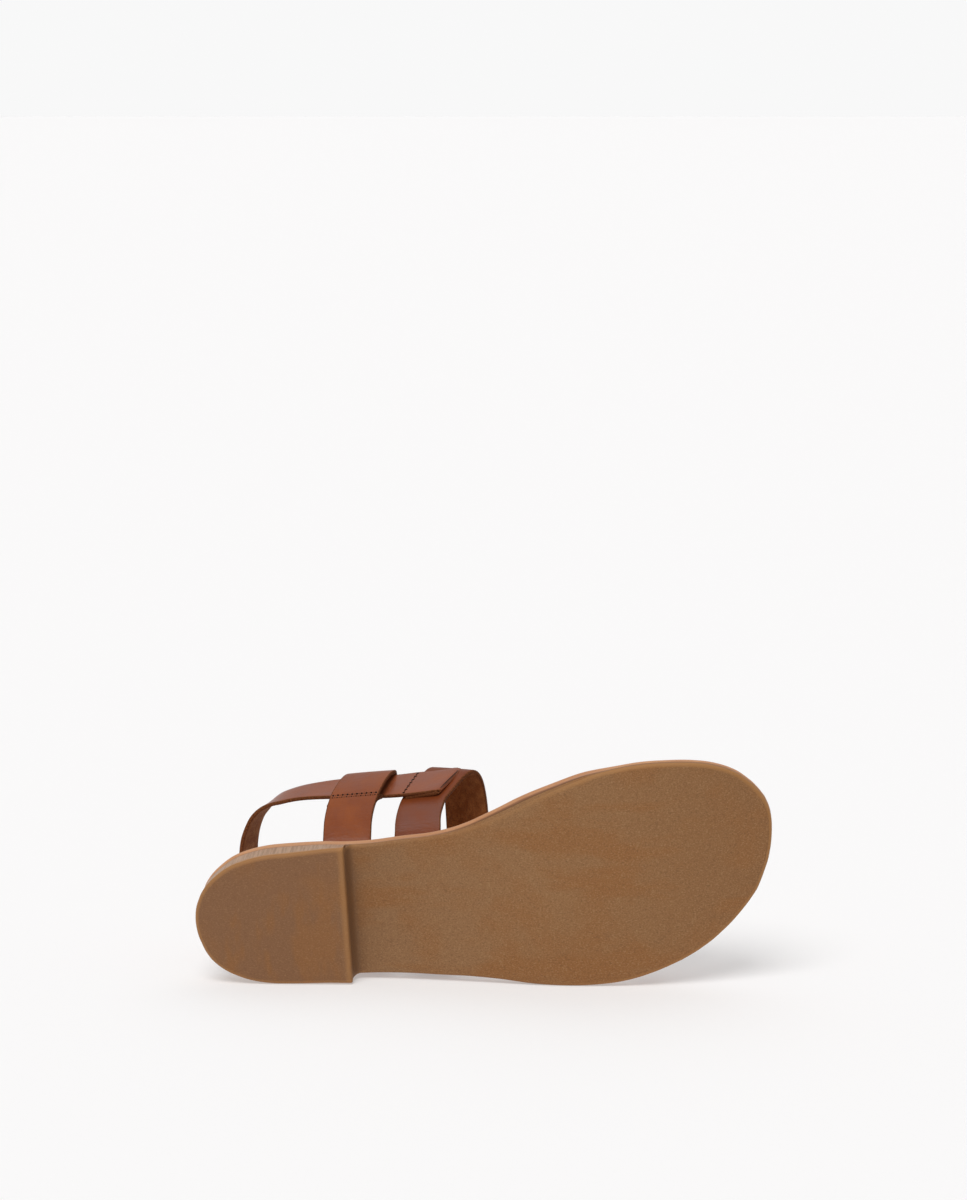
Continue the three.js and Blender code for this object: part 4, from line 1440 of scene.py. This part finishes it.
@dataclass
class Sole:
    """Moulded rubber sole with its heel block."""

    outline: Outline
    rim: float = 1.5
    band_gap: float = 0.18
    columns: int = 26

    def flare(self, x: float, side: int) -> float:
        """How far the tread stands out from the footbed's outline at an x, on a side."""
        if x > self.outline.breast_start + 0.05:
            return -look_up(WAIST_TUCK, x, 1) if side == 1 else 0.0
        return look_up(HEEL_FLARE, x, side)

    def shelf(self, x: float, side: int) -> float:
        """How far the top of the rubber stays behind the footbed's outline at an x, on a side."""
        return look_up(SHELF, x, 1) if side == 1 else 0.0

    def build(self, pose: Pose, finishes: Finishes) -> bpy.types.Object:
        """Lofts the sole from its tread, over the rounded rim, up to the footbed.

        Args:
            pose: how the shoe lies.
            finishes: the materials.

        Returns:
            The sole as an object.
        """
        body = Slab(self.outline, pose)
        line = self.outline
        top = lambda x: line.shank(x) + line.thickness
        steps = (0, 18, 36, 54, 72, 90)
        rings, heights, rims = [], [], []
        for degrees in steps:
            turn = math.radians(degrees)
            inset = self.rim * (1 - math.sin(turn))
            lift = self.rim * (1 - math.cos(turn))
            rings.append(body.ring(lambda x, side: self.flare(x, side) - inset,
                                   lambda x: min(line.tread(x) + lift, top(x) - 0.6)))
            heights.append(lift)
            rims.append(self.rim * (1 - degrees / 90))
        for part in (0.25, 0.5, 0.75, 0.94):
            rings.append(body.ring(
                lambda x, side: self.flare(x, side) * (1 - part) - self.shelf(x, side) * part,
                lambda x: line.tread(x) + self.rim + part * (top(x) - line.tread(x) - self.rim),
            ))
            heights.append(self.rim + part * (line.lift + line.thickness - self.rim))
            rims.append(0.0)
        rings.append(body.ring(lambda x, side: -self.band_gap - self.shelf(x, side), top))
        heights.append(line.lift + line.thickness)
        rims.append(0.0)
        in_heel = lambda x: 1 if x < line.breast_start - 0.2 else 0
        for k in range(len(rings) - 1):
            finish = in_heel if k >= len(steps) - 1 else (lambda x: 0)
            body.wall(rings[k], rings[k + 1], finish, (heights[k], heights[k + 1]), (rims[k], rims[k + 1]))
        body.lid(rings[0], line.tread, self.columns, self.rim)
        body.lid(rings[-1], top, 6, 9.0)
        return body.finish("sole_unit_rubber", [finishes.rubber, finishes.stack], 50)


@dataclass
class Footbed:
    """Leather-wrapped footbed with slots for the straps' feet."""

    outline: Outline
    thickness: float = 4.5
    gap: float = 0.3
    radius: float = 1.9
    slot_gap: float = 0.3
    columns: int = 20

    def build(self, pose: Pose, finishes: Finishes,
              feet: Sequence[tuple[Row, float, float, int]]) -> bpy.types.Object:
        """Lofts the wrap and cuts the slots.

        Args:
            pose: how the shoe lies.
            finishes: the materials.
            feet: for each strap's foot its row, width, thickness and 1 on the inner side or -1.

        Returns:
            The footbed as an object.
        """
        body = Slab(self.outline, pose)
        line = self.outline
        base = lambda x: line.shank(x) + line.thickness + self.gap
        rings, heights = [], []
        turns = [math.radians(degrees) for degrees in (0, 25, 50, 70, 90)]
        profile = [(self.radius * (1 - math.sin(turn)), self.radius * (1 - math.cos(turn))) for turn in turns]
        full = [(inset, lift) for inset, lift in profile]
        full += [(inset, self.thickness - lift) for inset, lift in reversed(profile)]
        for inset, lift in full:
            rings.append(body.ring(lambda x, side: -inset, lambda x: base(x) + lift))
            heights.append(lift)
        for k in range(len(rings) - 1):
            body.wall(rings[k], rings[k + 1], lambda x: 0, (heights[k], heights[k + 1]), (0.0, 0.0))
        body.lid(rings[0], base, 4, 0.0)
        body.lid(rings[-1], lambda x: base(x) + self.thickness, self.columns, 0.0)
        piece = body.finish("footbed_wrap", [finishes.wrap, finishes.pit], 60)
        tool = bmesh.new()
        for foot in feet:
            self.slot(tool, pose, *foot)
        cut(piece, new_piece("slot_tool", tool, [finishes.wrap, finishes.pit]), 60)
        return piece

    def slot(self, work: bmesh.types.BMesh, pose: Pose, row: Row, width: float, thickness: float,
             inner: int) -> None:
        """Adds a box a little larger than a strap's foot.

        Args:
            work: the mesh that receives it.
            pose: how the shoe lies.
            row: the strap's row at its foot.
            width: the strap's width.
            thickness: the leather's thickness.
            inner: 1 on the inner side, -1 on the outer side.
        """
        side = Vector((row[3], row[4], 0)).normalized()
        deep = Vector((side.y, -side.x, 0)) * inner
        centre = Vector(row[:3]) + deep * (0.5 * thickness) + Vector((0, 0, 0.5 * self.thickness))
        verts = {}
        for a in (-1, 1):
            for b in (-1, 1):
                for c in (-1, 1):
                    wide, thick = 0.5 * width + self.slot_gap, 0.5 * thickness + self.slot_gap
                    place = centre + side * (a * wide) + deep * (b * thick)
                    high = Vector((0, 0, c * 1.4 * self.thickness))
                    verts[a, b, c] = work.verts.new(pose.carry(place + high))
        faces = []
        for axis in range(3):
            for sign in (-1, 1):
                corners = []
                for u, v in ((-1, -1), (1, -1), (1, 1), (-1, 1)):
                    key = [u, v]
                    key.insert(axis, sign)
                    corners.append(verts[tuple(key)])
                faces.append(work.faces.new(corners))
        # The slot's walls take the near-black finish, painted shade.
        for face in faces:
            face.material_index = 1
        bmesh.ops.recalc_face_normals(work, faces=faces)


@dataclass
class Upper:
    """Ankle strap, instep strap and both quarter straps, sewn where they meet."""

    leather: float = 1.9
    ankle_leather: float = 1.8
    row_half: float = 9.2
    row_drop: float = 1.6
    ankle_row_half: float = 7.8
    ankle_rows: tuple[float, float] = (36.8, 249.8)
    fold_half: float = 9.0
    # Run of the dark line at the fold's crease, painted shade.
    fold_shade_line: float = 19.4
    fold_lip: float = 18.8

    def __post_init__(self) -> None:
        """Names the straps."""
        self.inner = Strap("quarter_strap_inner", INNER_QUARTER, 21, self.leather)
        self.outer = Strap("quarter_strap_outer", OUTER_QUARTER, 21, self.leather, -1)
        self.instep = Strap("instep_strap", INSTEP, 20, self.leather, hide=Hide.INSTEP)
        self.ankle = Strap("ankle_strap", ANKLE, 18, self.ankle_leather, hide=Hide.ANKLE)

    def double_row(self, strap: Strap, run: float, sink: float) -> list[Seam]:
        """Two close rows of stitches across a quarter strap, the upper one with the larger holes.

        Args:
            strap: the quarter strap.
            run: place of the upper row along the strap.
            sink: how deep the threads are pulled in.

        Returns:
            The two rows.
        """
        half, low = self.row_half, run - self.row_drop
        return [
            Seam(strap, (run, -half), (run, half), pitch=2.1, gap=1.2, thread=0.24, pit=0.68, sink=sink),
            Seam(strap, (low, -half), (low, half), pitch=2.1, gap=1.0, thread=0.24, pit=0.46, sink=sink),
        ]

    def build(self, pose: Pose, finishes: Finishes, buckle: "Buckle") -> None:
        """Makes the straps and sews them.

        Args:
            pose: how the shoe lies.
            finishes: the materials.
            buckle: the buckle, whose prong needs a slot in the ankle strap's fold.
        """
        straps = (self.inner, self.outer, self.instep, self.ankle)
        made = {strap.name: strap.build(pose, finishes) for strap in straps}
        cut(made["ankle_strap"], buckle.fold_tool(pose, finishes))
        half = self.ankle_row_half
        sewn = [Seam(self.ankle, (run, -half), (run, half), 2.6, 1.3, 0.28, 0.72) for run in self.ankle_rows]
        rows = {
            "quarter_stitches_inner": (self.inner, self.double_row(self.inner, 36.2, 0.0)),
            "quarter_stitches_outer": (self.outer, self.double_row(self.outer, 36.6, 0.34)),
            "ankle_stitches": (self.ankle, sewn),
        }
        for name, (strap, seams) in rows.items():
            thread = finishes.dark_thread if strap is self.ankle else finishes.thread
            settle(sew(name, made[strap.name], seams, pose, finishes, thread), ["upper"])
        # Dark bead along the fold's crease: painted shade under the end of the folded layer.
        crease_shade_line = bmesh.new()
        start, stop = (self.fold_shade_line, -self.fold_half), (self.fold_shade_line, self.fold_half)
        fold = Seam(self.ankle, start, stop, pitch=18.0, gap=0.0, thread=0.26, sink=0.1)
        fold.threads(crease_shade_line, pose)
        settle(new_piece("ankle_fold_shade_line", crease_shade_line, [finishes.dark_thread], 60), ["upper"])
        lip = bmesh.new()
        start, stop = (self.fold_lip, -self.fold_half), (self.fold_lip, self.fold_half)
        fold = Seam(self.ankle, start, stop, pitch=18.0, gap=0.0, thread=0.22, sink=0.05)
        fold.threads(lip, pose)
        settle(new_piece("ankle_fold_lip", lip, [finishes.thread], 60), ["upper"])
        for piece in made.values():
            settle(piece, ["upper"])
        lengths = (self.ankle.path.length, self.inner.path.length)
        LOG.info("ankle strap is %.1f mm long, inner quarter %.1f mm", *lengths)


@dataclass
class Buckle:
    """Rectangular frame with rounded corners and its prong, fastened."""

    bar: tuple[float, float, float] = (91.8, -31.6, 55.6)
    along_way: tuple[float, float, float] = (0.953, -0.2, -0.226)
    up_way: tuple[float, float, float] = (0.23, 0.05, 0.97)
    rod: float = 1.3
    half: float = 11.4
    length: float = 15.5
    corner: float = 2.6
    prong: float = 0.9
    gap: float = 0.3
    slot: float = 3.0

    def __post_init__(self) -> None:
        """Works out the buckle's own directions."""
        self.along = Vector(self.along_way).normalized()
        self.out = self.along.cross(Vector(self.up_way)).normalized()
        if self.out.y > 0:
            self.out = -self.out
        up = self.along.cross(self.out).normalized()
        self.up = up if up.z > 0 else -up

    def on(self, along: float, up: float, out: float) -> Vector:
        """A place of the shoe given in the buckle's own directions."""
        return Vector(self.bar) + self.along * along + self.up * up + self.out * out

    def fold_tool(self, pose: Pose, finishes: Finishes) -> bpy.types.Object:
        """Round-ended box in the fold of leather round the bar, where the prong swings.

        Args:
            pose: how the shoe lies.
            finishes: the materials.

        Returns:
            The cutting tool.
        """
        work = bmesh.new()
        rings = []
        for out in (-5, 5):
            ring = []
            corners = ((1, -90), (1, -45), (1, 0), (1, 45), (1, 90), (-1, 90), (-1, 180), (-1, 270))
            for along_sign, degrees in corners:
                turn = math.radians(degrees)
                along = 0.5 + along_sign * 3.6 + 0.5 * self.slot * math.cos(turn)
                ring.append(work.verts.new(pose.carry(self.on(along, 0.5 * self.slot * math.sin(turn), out))))
            rings.append(ring)
        join_rings(work, rings)
        for face in work.faces:
            face.material_index = Side.EDGE.value
        return new_piece("fold_tool", work, finishes.strap_set())

    def tube(self, name: str, centres: Sequence[tuple[Vector, float, float]], closed: bool, pose: Pose,
             finishes: Finishes) -> bpy.types.Object:
        """Rod swept along places, with its own width and height at each.

        Args:
            name: the piece's name.
            centres: places with the rod's radius in the buckle's plane and out of it.
            closed: whether the rod meets its own start.
            pose: how the shoe lies.
            finishes: the materials.

        Returns:
            The rod as an object.
        """
        work = bmesh.new()
        rings = []
        count = len(centres)
        lead = self.up if not closed else None
        for i, (centre, flat, tall) in enumerate(centres):
            before = centres[i - 1][0] if closed or i > 0 else centre
            after = centres[(i + 1) % count][0] if closed or i < count - 1 else centre
            way = (after - before).normalized()
            first = lead if lead is not None else self.out
            second = way.cross(first).normalized()
            ring = []
            for k in range(14):
                turn = math.tau * k / 14
                wide, high = (tall, flat) if lead is None else (flat, tall)
                place = centre + first * (wide * math.cos(turn)) + second * (high * math.sin(turn))
                ring.append(work.verts.new(pose.carry(place)))
            rings.append(ring)
        join_rings(work, rings, closed)
        return new_piece(name, work, [finishes.bronze], 60)

    def frame_run(self) -> list[tuple[Vector, float, float]]:
        """Places round the frame, whose rod is a little flatter than round all the way round."""
        run = []
        for along0, up_sign, start in ((0, -1, 180), (self.length, -1, 270), (self.length, 1, 0), (0, 1, 90)):
            centre_along = self.corner if along0 == 0 else along0 - self.corner
            centre_up = up_sign * (self.half - self.corner)
            for degrees in range(0, 91, 15):
                turn = math.radians(start + degrees)
                run.append((centre_along + self.corner * math.cos(turn),
                            centre_up + self.corner * math.sin(turn)))
        places = []
        for i, (a, u) in enumerate(run):
            b, v = run[(i + 1) % len(run)]
            steps = max(1, round(math.hypot(b - a, v - u) / 1.2))
            for k in range(steps):
                share = k / steps
                place = self.on(a + (b - a) * share, u + (v - u) * share, 0)
                places.append((place, self.rod, self.rod * 0.94))
        return places

    def prong_run(self) -> list[tuple[Vector, float, float]]:
        """Places along the prong: round the bar, forward and over the front rod, thinner to its tip."""
        turn_radius = self.rod + self.gap + self.prong
        run = []
        for degrees in range(-50, -271, -10):
            turn = math.radians(degrees)
            place = self.on(turn_radius * math.cos(turn), 0, turn_radius * math.sin(turn))
            run.append((place, self.prong, self.prong * 0.95))
        end = self.length + 1.6
        for share in (0.12, 0.25, 0.4, 0.55, 0.7, 0.82, 0.92, 0.98, 1.0):
            thin = self.prong * (1 - 0.22 * share) * (1.0 if share < 0.9 else (0.8 if share < 0.99 else 0.45))
            run.append((self.on(end * share, 0, turn_radius), thin, thin))
        return run

    def build(self, pose: Pose, finishes: Finishes) -> None:
        """Makes the frame and the prong.

        Args:
            pose: how the shoe lies.
            finishes: the materials.
        """
        frame = self.tube("buckle_frame_rod", self.frame_run(), True, pose, finishes)
        settle(frame, ["buckle_frame"])
        prong = self.tube("buckle_prong_rod", self.prong_run(), False, pose, finishes)
        settle(prong, ["buckle_prong"])


@dataclass
class Billet:
    """Pointed end of the ankle strap with its punched holes."""

    hole: float = 1.15
    pitch: float = 7.0
    plain_start: float = 14.0
    plain_end: float = 9.0

    def build(self, pose: Pose, finishes: Finishes, buckle: Buckle) -> None:
        """Makes the billet and punches it.

        Args:
            pose: how the shoe lies.
            finishes: the materials.
            buckle: the buckle, whose prong passes through one hole.
        """
        strap = Strap("billet_strap", BILLET, 16, 1.4, -1, corner=0.4, crown=0.0, tip=7.0)
        piece = strap.build(pose, finishes)
        tool = bmesh.new()
        turn_radius = buckle.rod + buckle.gap + buckle.prong
        crossing = min((strap.path.length * i / 400 for i in range(401)),
                       key=lambda run: self.miss(strap, run, buckle, turn_radius))
        for step in (-3, -2, -1, 0, 1, 2):
            run = crossing + step * self.pitch
            if not self.plain_start < run < strap.path.length - self.plain_end:
                continue
            place, along, side, out = strap.surface(run, 0.0)
            used = step == 0
            across = self.hole * (1.2 if used else 1.0)
            lengthwise = across * (1.9 if used else 1.0)
            rings = []
            for depth in (-3.0, 3.0):
                ring = []
                for k in range(16):
                    turn = math.tau * k / 16
                    offset = along * (lengthwise * math.cos(turn)) + side * (across * math.sin(turn))
                    ring.append(tool.verts.new(pose.carry(place + offset + out * depth)))
                rings.append(ring)
            join_rings(tool, rings)
        for face in tool.faces:
            face.material_index = Side.EDGE.value
        cut(piece, new_piece("hole_tool", tool, finishes.strap_set()))
        settle(piece, ["billet"])

    def miss(self, strap: Strap, run: float, buckle: Buckle, lift: float) -> float:
        """How far the strap's smooth face is from the prong's line at a length along it."""
        place = strap.surface(run, 0.0)[0] - Vector(buckle.bar)
        along, out = place.dot(buckle.along), place.dot(buckle.out)
        return abs(out - lift) if 1.0 < along < buckle.length - 1 else 99.0


# ---- studio ----


@dataclass
class Studio:
    """Pale floor, soft lamps, pale sky and the camera.

    The lens and its sensor are in millimetres, and so are the two distances from the sensor's middle
    at which the aim falls, which leave the sandal low in the frame.
    """

    floor_colour: Colour = (0.66, 0.657, 0.659)
    floor_glow: float = 0.32
    horizon: float = 0.94
    sky: float = 0.40
    behind_camera: float = 0.30
    elevation: float = 8.2
    turned: float = 1.5
    distance: float = 1.6
    focal: float = 110.88
    sensor: float = 36.0
    aim: tuple[float, float, float] = (0.000294, -0.033749, 0.0)
    aim_right: float = 0.0075
    aim_below: float = 11.55

    def floor(self) -> None:
        """Lays a wide flat floor."""
        work = bmesh.new()
        reach = 40.0
        signs = ((-1, -1), (1, -1), (1, 1), (-1, 1))
        corners = [work.verts.new((x * reach, y * reach, 0.0)) for x, y in signs]
        work.faces.new(corners)
        r = Recipe("studio_floor")
        r.set(Base_Color=self.floor_colour, Roughness=0.9, Specular_IOR_Level=0.1)
        r.set(Emission_Color=(1.0, 1.0, 1.0, 1.0), Emission_Strength=self.floor_glow)
        new_piece("studio_floor", work, [r.material], 60)

    def lamp(self, name: str, way: tuple[float, float, float], spread: float, power: float, colour: Colour,
             shades: bool = True) -> None:
        """Hangs one large far lamp.

        Args:
            name: the lamp's name.
            way: direction from the sandal to the lamp.
            spread: how wide it looks from the sandal, in degrees.
            power: light that falls on a square metre that faces it.
            colour: its light.
            shades: whether it throws shadows.
        """
        light = bpy.data.lights.new(name, "SUN")
        light.use_shadow = shades
        light.angle = math.radians(spread)
        light.energy = power
        light.color = colour
        holder = bpy.data.objects.new(name, light)
        holder.location = Vector(way) * 2
        holder.rotation_euler = (-Vector(way)).to_track_quat("-Z", "Y").to_euler()
        bpy.context.scene.collection.objects.link(holder)

    def lights(self) -> None:
        """Hangs the lamps and sets the sky, brighter towards the horizon and dimmer behind the camera."""
        self.lamp("lamp_key", (-0.20, -0.75, 1.0), 34, 2.0, (1.0, 0.985, 0.975))
        self.lamp("lamp_back", (0.2, 0.7, 1.0), 60, 0.5, (0.98, 0.985, 1.0), False)
        world = bpy.data.worlds.new("studio_sky")
        world.use_nodes = True
        tree = world.node_tree
        place = tree.nodes.new("ShaderNodeTexCoord")
        split = tree.nodes.new("ShaderNodeSeparateXYZ")
        span = tree.nodes.new("ShaderNodeMapRange")
        tree.links.new(place.outputs["Generated"], split.inputs[0])
        tree.links.new(split.outputs[2], span.inputs[0])
        for socket, number in ((1, 0.02), (2, 0.30), (3, self.horizon), (4, self.sky)):
            span.inputs[socket].default_value = number
        front = tree.nodes.new("ShaderNodeMapRange")
        tree.links.new(split.outputs[1], front.inputs[0])
        for socket, number in ((1, -0.75), (2, 0.0), (3, self.behind_camera), (4, 1.0)):
            front.inputs[socket].default_value = number
        both = tree.nodes.new("ShaderNodeMath")
        both.operation = "MULTIPLY"
        tree.links.new(span.outputs[0], both.inputs[0])
        tree.links.new(front.outputs[0], both.inputs[1])
        tree.links.new(both.outputs[0], tree.nodes["Background"].inputs["Strength"])
        tree.nodes["Background"].inputs["Color"].default_value = (1.0, 1.0, 1.0, 1.0)
        bpy.context.scene.world = world
        bpy.context.scene.view_settings.view_transform = "Standard"

    def camera(self) -> None:
        """Stands the camera low in front of the tread."""
        turn, tilt = math.radians(self.turned), math.radians(self.elevation)
        level = Vector((-math.sin(turn), math.cos(turn), 0))
        right = Vector((math.cos(turn), math.sin(turn), 0))
        forward = level * math.cos(tilt) - Vector((0, 0, math.sin(tilt)))
        up = right.cross(forward)
        dx = self.aim_right / self.focal
        dy = -self.aim_below / self.focal
        place = Vector(self.aim) - (forward + right * dx + up * dy) * self.distance
        lens = bpy.data.cameras.new("camera")
        lens.sensor_fit = "VERTICAL"
        lens.sensor_height = self.sensor
        lens.lens = self.focal
        lens.clip_start = 0.05
        lens.clip_end = 30.0
        holder = bpy.data.objects.new("camera", lens)
        turned = Matrix((right, up, -forward)).transposed().to_4x4()
        holder.matrix_world = Matrix.Translation(place) @ turned
        bpy.context.scene.collection.objects.link(holder)
        bpy.context.scene.camera = holder

    def build(self) -> None:
        """Sets up the whole studio."""
        self.floor()
        self.lights()
        self.camera()


def feet() -> list[tuple[Row, float, float, int]]:
    """Row, width, thickness and side of every strap's foot in the footbed."""
    return [
        (INNER_QUARTER[0], 21, 1.9, 1), (OUTER_QUARTER[0], 21, 1.9, -1), (INSTEP[0], 20, 1.9, 1),
        (INSTEP[-1], 20, 1.9, -1), (BALL_STRAP[0], 20, 1.9, 1), (BALL_STRAP[-1], 20, 1.9, -1),
        (TOE_STRAP[0], 18, 1.9, 1), (TOE_STRAP[-1], 18, 1.9, -1),
    ]


def main() -> None:
    """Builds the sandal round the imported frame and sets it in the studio."""
    logging.basicConfig(level=logging.INFO, format="%(message)s", stream=sys.stdout)
    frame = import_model()
    pose = Pose.from_record(frame["record"])
    finishes = Finishes()
    outline = Outline()
    buckle = Buckle()
    settle(Sole(outline).build(pose, finishes), ["sole_unit"])
    settle(Footbed(outline).build(pose, finishes, feet()), ["footbed"])
    Upper().build(pose, finishes, buckle)
    Billet().build(pose, finishes, buckle)
    settle(Strap("ball_band", BALL_STRAP, 20, 1.9).build(pose, finishes), ["ball_strap"])
    settle(Strap("toe_band", TOE_STRAP, 18, 1.9).build(pose, finishes), ["toe_strap"])
    buckle.build(pose, finishes)
    Studio().build()


if __name__ == "__main__":
    main()
